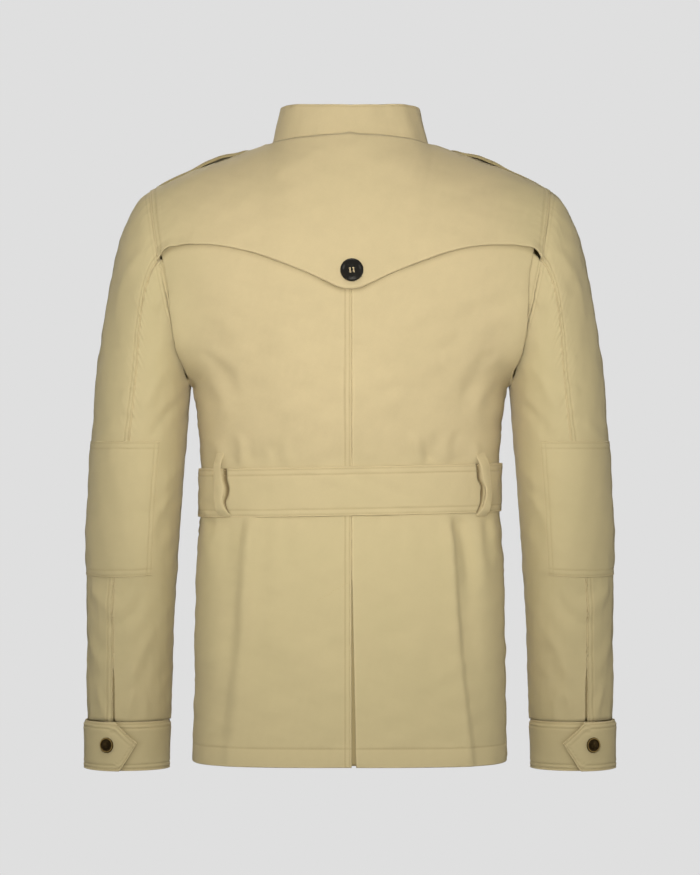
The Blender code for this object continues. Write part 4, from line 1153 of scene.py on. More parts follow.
def cape():
    """The storm cape: a curved yoke over both shoulders, held at its point by a button."""
    top = np.linspace(0.0, 0.88, 38)
    spread = 1 - (1 - np.linspace(0.0, 1.0, 14)) ** 1.6
    rows = np.concatenate([top, 0.88 + 0.12 * spread[1:]])
    half = np.full(len(rows), 0.996)

    def place(shares):
        return body(BACK, shares, row_down(BACK, shares, rows[:, None]))

    armhole = edge_steps(CAPE_ARMHOLE_STITCHES, 13.0)
    shares, at, length = even_columns(place, 0 * half, half, np.array([0.0]), armhole, SPACING)
    from_armhole = np.concatenate([(length - at)[:, :0:-1], length - at], 1)
    shares = np.concatenate([-shares[:, :0:-1], shares], 1)
    at = np.concatenate([-at[:, :0:-1], at], 1)
    downs = row_down(BACK, shares, rows[:, None])
    base = body(BACK, shares, downs)
    run = grid_lengths(base)
    from_hem = run[-1] - run
    relief = lip(from_hem, 1.8) + 0.9 * (1 + 0.6 * np.sin(at / 23.0)) * np.exp(-((from_hem / 9.0) ** 2))
    relief = relief + 3.0 * np.exp(-((from_hem / 8.0) ** 2)) * np.exp(-(((from_armhole - 13.0) / 10.0) ** 2))
    relief = relief + puckers(at, from_hem, 51, 26.0, 16.0, 0.5)
    relief = relief + stitched_edge(from_armhole, CAPE_ARMHOLE_STITCHES, 0.8, 0.3)
    relief = relief + puckers(run, from_armhole, 52, 8.0, 10.0, 0.45)
    points, normal = lay(BACK, shares, downs, CAPE_LIFT + 0.4, relief, 1.0)
    # Painted highlight on the hem's roll; painted highlight and painted shade along the stitched armhole edges.
    hem_highlight, _ = painted_edge_shading(from_hem)
    wear_and_highlight, dark = painted_edge_shading(from_armhole, CAPE_ARMHOLE_STITCHES)
    wear_and_highlight = wear_and_highlight + 0.6 * hem_highlight
    made = sheet_mesh("storm_cape_cloth", points, normal, at, run, wear_and_highlight, dark, SHELL, 1.6)
    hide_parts("storm_cape")
    half_way = points.shape[1] // 2
    threads = []
    for inset in CAPE_ARMHOLE_STITCHES:
        for part in (slice(0, half_way), slice(half_way, None)):
            threads.append(follow(points[:, part], normal[:, part], from_armhole[:, part], inset, axis=1))
    stitch("storm_cape_stitches", threads)
    return made


def front_panel(word, side):
    rows = body_rows()
    downs_edge = row_down(FRONT, 1.0, rows)
    starts = -FRONT_LAP / row_width(downs_edge)
    ends = 1 - 0.003 * np.sin(math.pi * np.minimum(downs_edge, 1.0))

    def place(shares):
        return body(FRONT, shares, row_down(FRONT, shares, rows[:, None]))

    placket = (2.5, 38.0)
    first = edge_steps(placket, 44.0)
    last = edge_steps((), 14.0)
    shares, at, length = even_columns(place, starts, ends, first, last, SPACING)
    downs = row_down(FRONT, shares, rows[:, None])
    base = body(FRONT, shares, downs)
    hem_distance, hem = hem_profile(-base[..., 2])
    from_edge = length - at
    run = grid_lengths(base)
    relief = stitched_edge(at, placket) + lip(from_edge, 0.6) + np.where(rows[:, None] > 2.0, hem, 0.0)
    relief = relief + puckers(run, from_edge, 61 + side, 9.0, 12.0, 0.4) + puckers(run, at, 65 + side, 11.0, 8.0, 0.2)
    top = FRONT_LAP_LIFT if side == LEFT else 0.0
    lift = top * (1 - ease(shares, 0.02, 0.22))
    points, normal = lay(FRONT, side * shares, downs, lift, relief, near_armpit(rows))
    tuck(points[:, ::-1], normal[:, ::-1], ease(rows, 2.0, 2.05) * (1 - ease(rows, 2.93, 2.98)), sunk=1.2)
    # Painted highlight and painted shade along the placket's stitching, the hem and the side edge.
    wear_and_highlight, dark = painted_edge_shading(at, placket)
    hem_highlight, hem_dark = painted_edge_shading(hem_distance, (HEM_STITCH,))
    below = (rows[:, None] > 2.0).astype(float)
    edge_highlight, edge_dark = painted_edge_shading(from_edge)
    wear_and_highlight, dark = wear_and_highlight + hem_highlight * below + 0.6 * edge_highlight, dark + hem_dark * below + 0.5 * edge_dark
    made = sheet_mesh(f"front_{word}_cloth", points, normal, at, run, wear_and_highlight, dark, SHELL)
    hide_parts(f"front_panel_{word}")
    threads = [follow(points, normal, at, inset, axis=1) for inset in placket]
    threads.append(follow(points, normal, hem_distance, HEM_STITCH, axis=0))
    stitch(f"front_{word}_stitches", threads)
    return made


def vent_underlay():
    downs = body_down(-np.linspace(VENT_TOP_DROP - 12.0, -HEM_Z - 2.0, 70))
    x = np.linspace(SEAM_X - VENT_UNDERLAY_WIDTH / 2, SEAM_X + VENT_UNDERLAY_WIDTH / 2, 14)
    shares = x[None, :] / row_width(downs)[:, None]
    downs = np.broadcast_to(downs[:, None], shares.shape)
    points, normal = lay(BACK, shares, downs, VENT_UNDERLAY_LIFT + 0.6)
    run = grid_lengths(points)
    at = np.broadcast_to(x - x[0], shares.shape)
    zero = np.zeros(shares.shape)
    # Painted shade all over the underlay, on the darker copy of the khaki: the shadow inside the vent.
    dark = zero + 0.25
    made = sheet_mesh("vent_underlay_cloth", points, normal, at, run, zero, dark, SHADED_KHAKI_CLOTH, 1.0)
    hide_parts("vent_underlay")
    return made


# Sleeves, patches and cuffs.


def sleeve_relief(base, turn, seed):
    drop = -base[..., 2]
    height = creases(SLEEVE_CREASES, np.broadcast_to(turn, drop.shape), drop, turn_scale=1.1)
    return height + rumple(turn * 1.1, drop, seed) * 0.9


def sleeve_rows():
    return np.concatenate([[0.002, 0.004, 0.006, 0.009, 0.013, 0.018], np.linspace(0.024, 1.0, 170)])


def sleeve_half(side, node, first_turn, last_turn, stitched):
    """One piece of the two-piece sleeve, from one long seam to the other, stitched along the last."""
    along = sleeve_rows()

    def place(turns):
        return sleeve(along[:, None], turns)

    first = edge_steps((), 12.0)
    last = edge_steps(stitched, 12.0)
    fine = first_turn[:, None] + (last_turn - first_turn)[:, None] * np.linspace(0.0, 1.0, 121)
    run = np.linalg.norm(np.diff(place(fine), axis=1), axis=2).cumsum(1)
    run = np.concatenate([np.zeros((len(run), 1)), run], 1)
    at = between(run[:, -1], first, last, SPACING)
    turns = np.array([np.interp(a, r, f) for a, r, f in zip(at, run, fine)])
    base = place(turns)
    down = grid_lengths(base)
    from_end = run[:, -1:] - at
    wrapped = np.where(turns < -20, turns + 360, turns)
    relief = sleeve_relief(base, wrapped, 21)
    relief = relief + stitched_edge(at, (), 0.15, 0.3) + stitched_edge(from_end, stitched, 0.15, 0.3)
    relief = relief + puckers(down, at, 71, 9.0, 11.0, 0.5) + puckers(down, from_end, 72, 9.0, 11.0, 0.5)
    above = 0.25 + 0.75 * ease(np.cos(np.radians(turns)), -0.8, 0.2)
    armhole = above * puckers(at + 9.0 * side, down, 73, 10.0, 15.0, 0.8) + groove(down, 3.4, 0.25)
    relief = relief + armhole
    middle = math.radians(turns[80, turns.shape[1] // 2])
    normal = normals_of(base, (math.cos(middle), math.sin(middle), 0.2))
    points = base + normal * relief[..., None]
    tuck(points.transpose(1, 0, 2), normal.transpose(1, 0, 2), reach=4.0, sunk=1.3)
    if node.startswith("sleeve_under"):
        closed = 1 - ease(along, SLIT_START - 0.01, SLIT_START + 0.01)
        tuck(points, normal, closed)
        tuck(points[:, ::-1], normal[:, ::-1])
    points[..., 0] *= side
    normal = normal * np.array([side, 1.0, 1.0])
    # Painted highlight and painted shade along both long edges and the stitched armhole edge.
    highlight_a, dark_a = painted_edge_shading(at, edge=0.1)
    highlight_b, dark_b = painted_edge_shading(from_end, stitched, edge=0.1)
    highlight_c, dark_c = painted_edge_shading(down, (4.0,))
    wear_and_highlight, dark = highlight_a + highlight_b + 0.4 * highlight_c, dark_a + dark_b + 0.7 * dark_c
    made = sheet_mesh(f"{node}_cloth", points, normal, at, down, wear_and_highlight, dark, SHELL)
    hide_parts(node)
    if stitched:
        stitch(f"{node}_stitches", [follow(points, normal, from_end, inset, axis=1) for inset in stitched])


def sleeves(word, side):
    along = sleeve_rows()
    seam = seam_turn(along)
    gap = slit(along)
    start = np.full(len(along), SLEEVE_FRONT_SEAM_TURN - 360.0 + 0.2)
    end = np.full(len(along), SLEEVE_FRONT_SEAM_TURN - 0.2)
    sleeve_half(side, f"sleeve_top_{word}", start, seam - gap, SEAM_STITCHES)
    sleeve_half(side, f"sleeve_under_{word}", seam + gap, end, ())


def on_sleeve(turns, drops, lift, extra=0.0):
    """Points laid on the left sleeve, for rows of turns and drops."""
    along = along_at(turns, drops)
    wide = np.broadcast_to(turns, along.shape)
    base = sleeve(along, wide)
    middle = math.radians(float(turns[len(turns) // 2]))
    normal = normals_of(base, (math.cos(middle), math.sin(middle), 0.1))
    height = sleeve_relief(base, wide, 21) + lift + extra
    return base, normal, height


def elbow_patch(word, side):
    """A double-stitched patch from the outer side of the elbow round to the inner."""
    steps = edge_steps(PATCH_STITCHES, 14.0)
    wide = between([(PATCH_INNER_TURN - PATCH_OUTER_TURN) * PATCH_PER_DEGREE], steps, steps, SPACING)[0]
    tall = PATCH_BOTTOM_DROP - PATCH_TOP_DROP
    high = between([tall], steps, steps, SPACING)[0]
    turns = PATCH_OUTER_TURN + wide / PATCH_PER_DEGREE
    sag = PATCH_SAG * np.sin(math.pi * wide / wide[-1])
    drops = PATCH_TOP_DROP + high
    base, normal, height = on_sleeve(turns, drops, PATCH_LIFT)
    across = np.broadcast_to(wide, height.shape)
    down = np.broadcast_to(high[:, None], height.shape)
    relief, wear_and_highlight, dark = np.zeros(height.shape), 0.0, 0.0
    for distance in (across, wide[-1] - across, down, tall - down):
        relief = relief + lip(distance, 0.8)
        for at in PATCH_STITCHES:
            relief = relief + groove(distance, at, 0.2)
        # Painted highlight and painted shade along each stitched edge.
        edge_highlight, edge_dark = painted_edge_shading(distance, PATCH_STITCHES)
        wear_and_highlight, dark = np.maximum(wear_and_highlight, 0.4 * edge_highlight), np.maximum(dark, 0.7 * edge_dark)
    base = base.copy()
    base[..., 2] -= sag * (down / tall)
    points = base + normal * (height + relief + 0.2)[..., None]
    points[..., 0] *= side
    normal = normal * np.array([side, 1.0, 1.0])
    made = sheet_mesh(f"elbow_patch_{word}_cloth", points, normal, across, down, wear_and_highlight, dark, SHELL, 0.8)
    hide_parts(f"elbow_patch_{word}")
    threads = []
    for inset in PATCH_STITCHES:
        inner = (high >= inset) & (high <= tall - inset)
        sides = (wide >= inset) & (wide <= wide[-1] - inset)
        threads.append(follow(points, normal, across, inset, axis=1, keep=inner))
        threads.append(follow(points, normal, wide[-1] - across, inset, axis=1, keep=inner))
        threads.append(follow(points, normal, down, inset, axis=0, keep=sides))
        threads.append(follow(points, normal, tall - down, inset, axis=0, keep=sides))
    stitch(f"elbow_patch_{word}_stitches", threads)
    return made


def placket(word, side):
    drops = np.linspace(SLIT_TOP_DROP - 8.0, CUFF_TOP_DROP - 3.0, 26)
    turns = np.linspace(60.0, 84.0, 12)
    base, normal, height = on_sleeve(turns, drops, PLACKET_LIFT + 1.2)
    points = base + normal * height[..., None]
    points[..., 0] *= side
    normal = normal * np.array([side, 1.0, 1.0])
    across = np.broadcast_to(turns - turns[0], height.shape)
    zero = np.zeros(height.shape)
    down = grid_lengths(base)
    # Painted shade all over the placket, on the darker copy of the khaki: the shadow inside the sleeve's slit.
    made = sheet_mesh(
        f"placket_{word}_cloth", points, normal, across, down, zero, zero + 0.3, SHADED_KHAKI_CLOTH, 1.0
    )
    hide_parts(f"sleeve_placket_{word}")
    return made


def cuff_band(word, side):
    """A cuff round the wrist, whose pointed tab laps over its under end and buttons."""
    last = CUFF_TIP_TURN
    length = (last - CUFF_UNDER_END_TURN) * CUFF_PER_DEGREE
    wide = between([length], edge_steps((2.4,), 8.0), edge_steps((2.4,), 8.0), 2.2)[0]
    turns = CUFF_UNDER_END_TURN + wide / CUFF_PER_DEGREE
    top = np.interp(turns, (CUFF_TOP_CORNER_TURN, last), (CUFF_TOP_DROP, CUFF_TIP_DROP - 0.5))
    bottom = np.interp(turns, (CUFF_BOTTOM_CORNER_TURN, last), (CUFF_BOTTOM_DROP, CUFF_TIP_DROP + 0.5))
    tall = CUFF_BOTTOM_DROP - CUFF_TOP_DROP
    high = between([tall], edge_steps(CUFF_STITCHES, 12.0), edge_steps(CUFF_STITCHES, 12.0), 3.0)[0] / tall
    drops = top + (bottom - top) * high[:, None]
    wide_turns = np.broadcast_to(turns, drops.shape)
    base = cuff(wide_turns, drops)
    middle = math.radians(float(turns[len(turns) // 2]))
    normal = normals_of(base, (math.cos(middle), math.sin(middle), 0.0))
    # Near the point the rows run together, so the normal comes from the round of the cuff alone.
    level = np.radians(wide_turns)
    flat_normal = np.stack([np.cos(level), np.sin(level), np.zeros(drops.shape)], -1)
    tip = ease(wide_turns, last - 9.0, last)[..., None]
    normal = unit(normal * (1 - tip) + flat_normal * tip)
    from_top, from_bottom = drops - CUFF_TOP_DROP, CUFF_BOTTOM_DROP - drops
    slant_top = (drops - top) * CUFF_SLANT
    slant_bottom = (bottom - drops) * CUFF_SLANT
    edge_top = np.where(wide_turns > CUFF_TOP_CORNER_TURN - 6, slant_top, from_top)
    edge_bottom = np.where(wide_turns > CUFF_BOTTOM_CORNER_TURN - 6, slant_bottom, from_bottom)
    roll = 0.5 + 0.8 * ease(wide_turns, *CUFF_LAP_TURN)
    relief = stitched_edge(edge_top, CUFF_STITCHES, roll, 0.5) + stitched_edge(edge_bottom, CUFF_STITCHES, roll, 0.5)
    relief = relief + rumple(wide_turns * CUFF_PER_DEGREE, drops, 24) * 0.5
    lift = (CUFF_LAP + CUFF_TAB_RISE) * ease(wide_turns, *CUFF_LAP_TURN)
    # The cuff's top edge is sewn down on to the sleeve.
    lift = lift - CUFF_TOP_SUNK * np.exp(-((from_top / 3.6) ** 2)) * (wide_turns < CUFF_TOP_CORNER_TURN)
    points = base + normal * (lift + relief)[..., None]
    points[..., 0] *= side
    normal = normal * np.array([side, 1.0, 1.0])
    # Painted highlight and painted shade along the stitched top and bottom edges.
    highlight_a, dark_a = painted_edge_shading(edge_top, CUFF_STITCHES)
    highlight_b, dark_b = painted_edge_shading(edge_bottom, CUFF_STITCHES)
    across = np.broadcast_to(wide, drops.shape)
    # Painted shadow on the cuff just past the tab's slanted edges, where the tab lies over it.
    corners = (CUFF_TOP_CORNER_TURN, last, CUFF_BOTTOM_CORNER_TURN)
    tab_end = np.interp(drops, (CUFF_TOP_DROP, CUFF_TIP_DROP, CUFF_BOTTOM_DROP), corners)
    past = (wide_turns + 360.0 - tab_end) * CUFF_PER_DEGREE
    beside = (past > -6.0) & (past < 20.0) & (wide_turns < 200.0)
    dark_a = dark_a + beside * np.exp(-np.maximum(past, 0.0) / CUFF_SHADE_REACH)
    down = drops - CUFF_TOP_DROP
    wear_and_highlight, dark = highlight_a + highlight_b, dark_a + dark_b
    made = sheet_mesh(f"cuff_{word}_cloth", points, normal, across, down, wear_and_highlight, dark, SHELL, 1.6)
    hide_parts(f"cuff_{word}")
    keep = turns < last - 6.0
    threads = [follow(points, normal, edge_top, 2.4, axis=0, keep=keep)]
    threads.append(follow(points, normal, edge_bottom, 2.4, axis=0, keep=keep))
    threads.append(follow(points, normal, edge_top, 7.0, axis=0, keep=turns < CUFF_TOP_CORNER_TURN - 8.0))
    stitch(f"cuff_{word}_stitches", threads)
    return made


# Collar, straps, belt and loops.


def collar_band():
    """A stand collar: two layers of cloth with a turned top edge and a stitch line above its seam."""
    angle = np.linspace(-COLLAR_END_ANGLE, COLLAR_END_ANGLE, 241)
    rise_mm = between([34.0], edge_steps((4.6,), 9.0), edge_steps((2.4,), 8.0), 2.4)[0]
    rise = rise_mm / rise_mm[-1]
    rises, angles = np.meshgrid(rise, angle, indexing="ij")
    base = collar(angles, rises)
    normal = normals_of(base, (0.0, 1.0, 0.2))
    height = np.linalg.norm(np.diff(base, axis=0), axis=2).sum(0)
    from_seam = rises * height
    from_top = (1 - rises) * height
    ends = np.minimum(angles + COLLAR_END_ANGLE, COLLAR_END_ANGLE - angles) * 1.35
    relief = groove(from_seam, 4.6, 0.5) + stitched_edge(from_top, (2.4,), 1.4, 0.35) + lip(ends, 1.3)
    relief = relief + rumple(angles * 1.45, rises * 34, 81, ((60.0, 0.5), (26.0, 0.3), (12.0, 0.1)))
    relief = relief + puckers(angles * 1.45, from_seam, 82, 9.0, 6.0, 0.3)
    lift = COLLAR_END_LIFT * ease(angles, *COLLAR_END_TURN)
    points = base + normal * (lift + relief)[..., None]
    # Painted highlight and painted shade along the top edge and the seam's stitching.
    highlight_a, dark_a = painted_edge_shading(from_top, (2.4,))
    highlight_b, dark_b = painted_edge_shading(from_seam, (4.6,))
    wear_and_highlight, dark = highlight_a + 0.2 * highlight_b, 0.8 * dark_a + dark_b
    across = np.broadcast_to((angle - angle[0]) * 1.45, rises.shape)
    made = sheet_mesh("collar_cloth", points, normal, across, from_seam, wear_and_highlight, dark, SHELL, 2.0)
    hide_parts("collar")
    threads = [follow(points, normal, from_seam, 4.6, axis=0), follow(points, normal, from_top, 2.4, axis=0)]
    stitch("collar_stitches", threads)
    return made


def shoulder_strap(word, side):
    """A strap along the shoulder, square at the armhole and pointed towards the neck."""
    length = STRAP_OUTER_X - STRAP_INNER_X
    along = between([length], edge_steps((2.4,), 8.0), edge_steps((2.4,), 8.0), 3.0)[0]
    wide = between([STRAP_WIDTH], edge_steps((2.4,), 8.0), edge_steps((2.4,), 8.0), 3.0)[0]
    x = STRAP_OUTER_X - along
    half = np.interp(x, (STRAP_INNER_X, STRAP_INNER_X + 15.0), (3.0, STRAP_WIDTH / 2))
    y = STRAP_MIDDLE_Y + half[:, None] * (2 * wide / STRAP_WIDTH - 1)[None, :]
    xs = np.broadcast_to(x[:, None], y.shape)
    base = np.stack([xs, y, strap_height(xs, y)], -1)
    normal = normals_of(base, (0.0, 0.0, 1.0))
    narrow = (half / (STRAP_WIDTH / 2))[:, None]
    from_front, from_back = wide[None, :] * narrow, (STRAP_WIDTH - wide)[None, :] * narrow
    from_point = np.broadcast_to((x - STRAP_INNER_X)[:, None], y.shape) + 1.2
    relief = stitched_edge(from_front, (2.4,)) + lip(from_back, 3.6) + lip(from_point)
    # It lies close to the shoulder at both ends and bows up between them.
    bowed = ease(xs, 126.0, 152.0) * (1 - ease(xs, 162.0, 192.0))
    relief = relief - STRAP_REST * (1 - bowed) + STRAP_BOW * bowed
    relief = relief + rumple(xs, y, 91, ((50.0, 0.6), (22.0, 0.3)))
    points = base + normal * (relief + 0.2)[..., None]
    points[..., 0] *= side
    normal = normal * np.array([side, 1.0, 1.0])
    highlight_a, dark_a = painted_edge_shading(from_front, (2.4,))
    highlight_b, dark_b = painted_edge_shading(from_back, (2.4,))
    down = np.broadcast_to(along[:, None], y.shape)
    across = np.broadcast_to(wide[None, :], y.shape)
    name = f"strap_{word}_cloth"
    # The strap's cloth is a darker copy of the khaki, painted shade; its edges and stitching get painted highlight
    # and painted shade.
    made = sheet_mesh(name, points, normal, across, down, highlight_a + highlight_b, dark_a + dark_b, SHADED_STRAP_CLOTH, 1.5)
    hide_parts(f"shoulder_strap_{word}")
    keep = x > STRAP_INNER_X + 8.0
    threads = [follow(points, normal, from_front, 2.4, axis=1, keep=keep)]
    threads.append(follow(points, normal, from_back, 2.4, axis=1, keep=keep))
    stitch(f"strap_{word}_stitches", threads)
    return made


def belt_line():
    """The belt's way round, from under end to tip: points at mid height, level normals, lift and x."""
    z = -BELT_MIDDLE_DROP
    down = body_down(z)
    width = float(row_width(down))
    close = 1 - (1 - np.linspace(0.0, 1.0, 240)) ** 2.6
    first = (FRONT, 8.0 / width + (-1 - 8.0 / width) * close)
    back = (BACK, np.concatenate([-close[::-1], close[1:]]))
    tip = BELT_TIP_X / width
    last = (FRONT, 1 + (tip - 1) * (1 - close[::-1]))
    places, lifts, xs = [], [], []
    flat = BELT_GAP + BELT_THICKNESS
    lapped = flat + FRONT_LAP_LIFT
    over = lapped + BELT_THICKNESS + 0.7
    for number, (face, shares) in enumerate((first, back, last)):
        points = body(face, shares, down)
        x = points[:, 0]
        if number == 0:
            lift = flat + (lapped - flat) * (1 - ease(-x, 48.0, 88.0))
        elif number == 1:
            lift = np.full(x.shape, flat)
        else:
            lift = flat + (lapped - flat) * (1 - ease(x, 48.0, 88.0)) + (over - lapped) * (1 - ease(x, 28.0, 50.0))
            lift = lift + BELT_HUMP * (1 - ease(np.abs(x), 4.0, 19.0))
        places.append(points)
        lifts.append(lift)
        xs.append(x)
    points, lift, x = np.concatenate(places), np.concatenate(lifts), np.concatenate(xs)
    step = np.linalg.norm(np.diff(points, axis=0), axis=1)
    keep = np.concatenate([[True], step > 1e-6])
    return points[keep], lift[keep], x[keep]


def belt():
    """A doubled belt of the same cloth, two rows of stitching at each edge, threaded through its buckle."""
    line, lift, x = belt_line()
    run = np.concatenate([[0.0], np.linalg.norm(np.diff(line, axis=0), axis=1).cumsum()])
    # Steps of 3 mm, and of 1 mm where the loops bend the belt.
    fine = np.arange(8.0, run[-1] - 7.0)
    near_loop = (np.abs(np.abs(np.interp(fine, run, x)) - 140.0) < 11.0) & (np.interp(fine, run, line[:, 1]) > 0)
    steps = fine[near_loop | (np.arange(len(fine)) % 3 == 0)]
    along = np.concatenate([edge_steps((), 6.0), steps, run[-1] - edge_steps((), 6.0)[::-1]])
    mid = np.stack([np.interp(along, run, line[:, k]) for k in range(3)], 1)
    lift, x = np.interp(along, run, lift), np.interp(along, run, x)
    tangent = unit(np.gradient(mid, along, axis=0))
    out = np.stack([tangent[:, 1], -tangent[:, 0], np.zeros(len(along))], 1)
    middle = len(along) // 2
    out = out if out[middle, 1] > 0 else -out
    wide = between([BELT_WIDTH], edge_steps(BELT_STITCHES, 13.0), edge_steps(BELT_STITCHES, 13.0), 2.8)[0]
    # The free end runs to a point.
    to_tip = run[-1] - along
    half = np.interp(to_tip, (0.0, 16.0), (2.0, BELT_WIDTH / 2))
    z = BELT_WIDTH / 2 - wide
    zs = z[:, None] * (half / (BELT_WIDTH / 2))[None, :]
    heights = -BELT_MIDDLE_DROP - BELT_TILT * x[None, :] + zs
    points = np.stack([np.broadcast_to(mid[:, 0], zs.shape), np.broadcast_to(mid[:, 1], zs.shape), heights], -1)
    normal = np.broadcast_to(out[None], points.shape)
    from_top = np.broadcast_to(wide[:, None], zs.shape)
    from_low = BELT_WIDTH - from_top
    across = np.broadcast_to(along, zs.shape)
    relief = sum(stitched_edge(gap, BELT_STITCHES, 1.0, 0.25) for gap in (from_top, from_low))
    relief = relief + rumple(across, from_top, 101, ((80.0, 0.5), (34.0, 0.35), (15.0, 0.15)))
    # Fine slanting wrinkles from the belt's pull.
    drag = across + 2.6 * from_top
    relief = relief + 0.5 * np.sin(drag / 13.0 + 1.6 * np.sin(drag / 41.0)) * (0.3 + 0.7 * np.sin(drag / 97.0) ** 2)
    # The hollow beside each loop, where the belt comes out from under it, with painted shadow in it.
    hollow = np.zeros(zs.shape)
    for word, side in SIDES:
        course = LOOP_COURSES[word]
        drops = BELT_MIDDLE_DROP - BELT_WIDTH / 2 + from_top
        gap = column(course, LOOP_COURSE_COLUMNS, "gap", drops)
        middle_of_gap = column(course, LOOP_COURSE_COLUMNS, "inner_edge", drops) - gap
        aside = side * x[None, :] - middle_of_gap
        hollow = hollow + (mid[:, 1] > 0)[None, :] * np.exp(-((aside / (0.9 * gap)) ** 4))
    relief = relief - 2.0 * hollow
    points = points + normal * (lift[None, :] + relief + 0.3)[..., None]
    # Painted highlight and painted shade along both stitched edges, and painted shadow in the hollows beside the
    # loops.
    highlight_a, dark_a = painted_edge_shading(from_top, BELT_STITCHES)
    highlight_b, dark_b = painted_edge_shading(from_low, BELT_STITCHES)
    across = np.broadcast_to(along, zs.shape)
    wear_and_highlight, dark = highlight_a + highlight_b, dark_a + dark_b + 2.4 * hollow
    made = sheet_mesh("belt_cloth", points, normal, across, from_top, wear_and_highlight, dark, SHELL, 1.6)
    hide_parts("belt")
    keep = to_tip > 18.0
    edges = [(gap, inset) for gap in (from_top, from_low) for inset in BELT_STITCHES]
    threads = [follow(points, normal, gap, inset, axis=0, keep=keep) for gap, inset in edges]
    stitch("belt_stitches", threads)
    return made


def belt_loop(word, side):
    """A narrow doubled loop that the belt runs through, bent aside by it."""
    course = LOOP_COURSES[word]
    top, low = LOOP_LIFT[0][0], LOOP_LIFT[-1][0]
    high = between([low - top], edge_steps((), 8.0), edge_steps((), 8.0), 2.2)[0]
    wide = np.array([0.0, 0.4, 1.0, 2.0, 3.4, 5.0, 6.6, 8.0, 9.0, 9.6, 10.0])
    drops = top + high
    lift = column(LOOP_LIFT, LOOP_LIFT_COLUMNS, "lift", drops)
    inner = column(course, LOOP_COURSE_COLUMNS, "inner_edge", drops)
    outer = 0.35 * inner + 0.65 * inner.mean() + LOOP_WIDTH
    xs = side * (inner[:, None] + (outer - inner)[:, None] * (wide / LOOP_WIDTH)[None, :])
    downs = body_down(-drops)
    shares = xs / row_width(downs)[:, None]
    downs = np.broadcast_to(downs[:, None], shares.shape)
    base = body(BACK, shares, downs)
    normal = normals_of(base, (0.0, 1.0, 0.0)).copy()
    normal[..., 2] = 0.0
    normal = unit(normal)
    from_side = np.broadcast_to(np.minimum(wide, LOOP_WIDTH - wide), shares.shape)
    crown = 0.3 * np.sin(math.pi * wide / LOOP_WIDTH)
    relief = lip(from_side, 0.8) + crown
    relief = relief + rumple(shares * 900, drops[:, None], 111, ((30.0, 0.25), (13.0, 0.12)))
    points = base + normal * (lift[:, None] + relief)[..., None]
    down = np.broadcast_to(high[:, None], shares.shape)
    # Painted highlight and painted shade along both long edges.
    wear_and_highlight, dark = painted_edge_shading(from_side)
    across = np.broadcast_to(wide, shares.shape)
    made = sheet_mesh(f"belt_loop_{word}_cloth", points, normal, across, down, wear_and_highlight, dark, SHELL, 1.2)
    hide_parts(f"belt_loop_{word}")
    return made


def buckle():
    """A rounded frame with a middle bar."""
    low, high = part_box("buckle")
    cross, tall, deep = (high[k] - low[k] for k in (0, 2, 1))
    xs = [0.0, 0.095, 0.469, 0.531, 0.905, 1.0]
    zs = [0.0, 0.0725, 0.9275, 1.0]
    bm = bmesh.new()
    grid = bmesh.ops.create_grid(bm, x_segments=5, y_segments=3, size=1.0)["verts"]
    for index, vert in enumerate(grid):
        row, step = divmod(index, len(xs))
        vert.co = (low[0] + cross * xs[step], high[1], low[2] + tall * zs[row])
    windows = [face for face in bm.faces if face.calc_area() > 6e-4]
    bmesh.ops.delete(bm, geom=windows, context="FACES")
    walls = bmesh.ops.extrude_face_region(bm, geom=bm.faces[:], use_keep_orig=True)["geom"]
    moved = [item for item in walls if isinstance(item, bmesh.types.BMVert)]
    bmesh.ops.translate(bm, verts=moved, vec=(0.0, -deep, 0.0))
    bmesh.ops.recalc_face_normals(bm, faces=bm.faces)
    corners = [edge for edge in bm.edges if edge.is_manifold and edge.calc_face_angle() > 0.5]
    bmesh.ops.bevel(bm, geom=corners, offset=0.0009, segments=4, profile=0.5, affect="EDGES", material=-1)
    wear_and_highlight = bm.verts.layers.float.new("wear_and_highlight")
    for vert in bm.verts:
        vert[wear_and_highlight] = 0.75 if vert.co.y < low[1] + 0.0004 else 0.35
    made = add_object("buckle_frame", bm, AGED_BRASS)
    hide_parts("buckle")
    return made


# Buttons.


def turned(profile, steps=64):
    """A solid turned about Z from (radius, height) pairs in millimetres."""
    bm = bmesh.new()
    points = [bm.verts.new((radius * MM, 0.0, height * MM)) for radius, height in profile]
    edges = [bm.edges.new(pair) for pair in zip(points, points[1:])]
    full = {"cent": (0, 0, 0), "axis": (0, 0, 1), "angle": math.tau}
    bmesh.ops.spin(bm, geom=points + edges, steps=steps, use_merge=True, **full)
    bmesh.ops.remove_doubles(bm, verts=bm.verts[:], dist=1e-6)
    bmesh.ops.recalc_face_normals(bm, faces=bm.faces)
    return bm


def rounded(profile, radius=0.35, steps=3):
    """The profile with its inner corners rounded off."""
    done = [profile[0]]
    for before, here, after in zip(profile, profile[1:], profile[2:]):
        a, b, c = (np.array(p, float) for p in (before, here, after))
        reach = min(radius, np.linalg.norm(a - b) * 0.45, np.linalg.norm(c - b) * 0.45)
        p, q = b + unit(a - b) * reach, b + unit(c - b) * reach
        for t in np.linspace(0.0, 1.0, steps + 1):
            done.append(tuple((1 - t) ** 2 * p + 2 * t * (1 - t) * b + t * t * q))
    return [*done, profile[-1]]


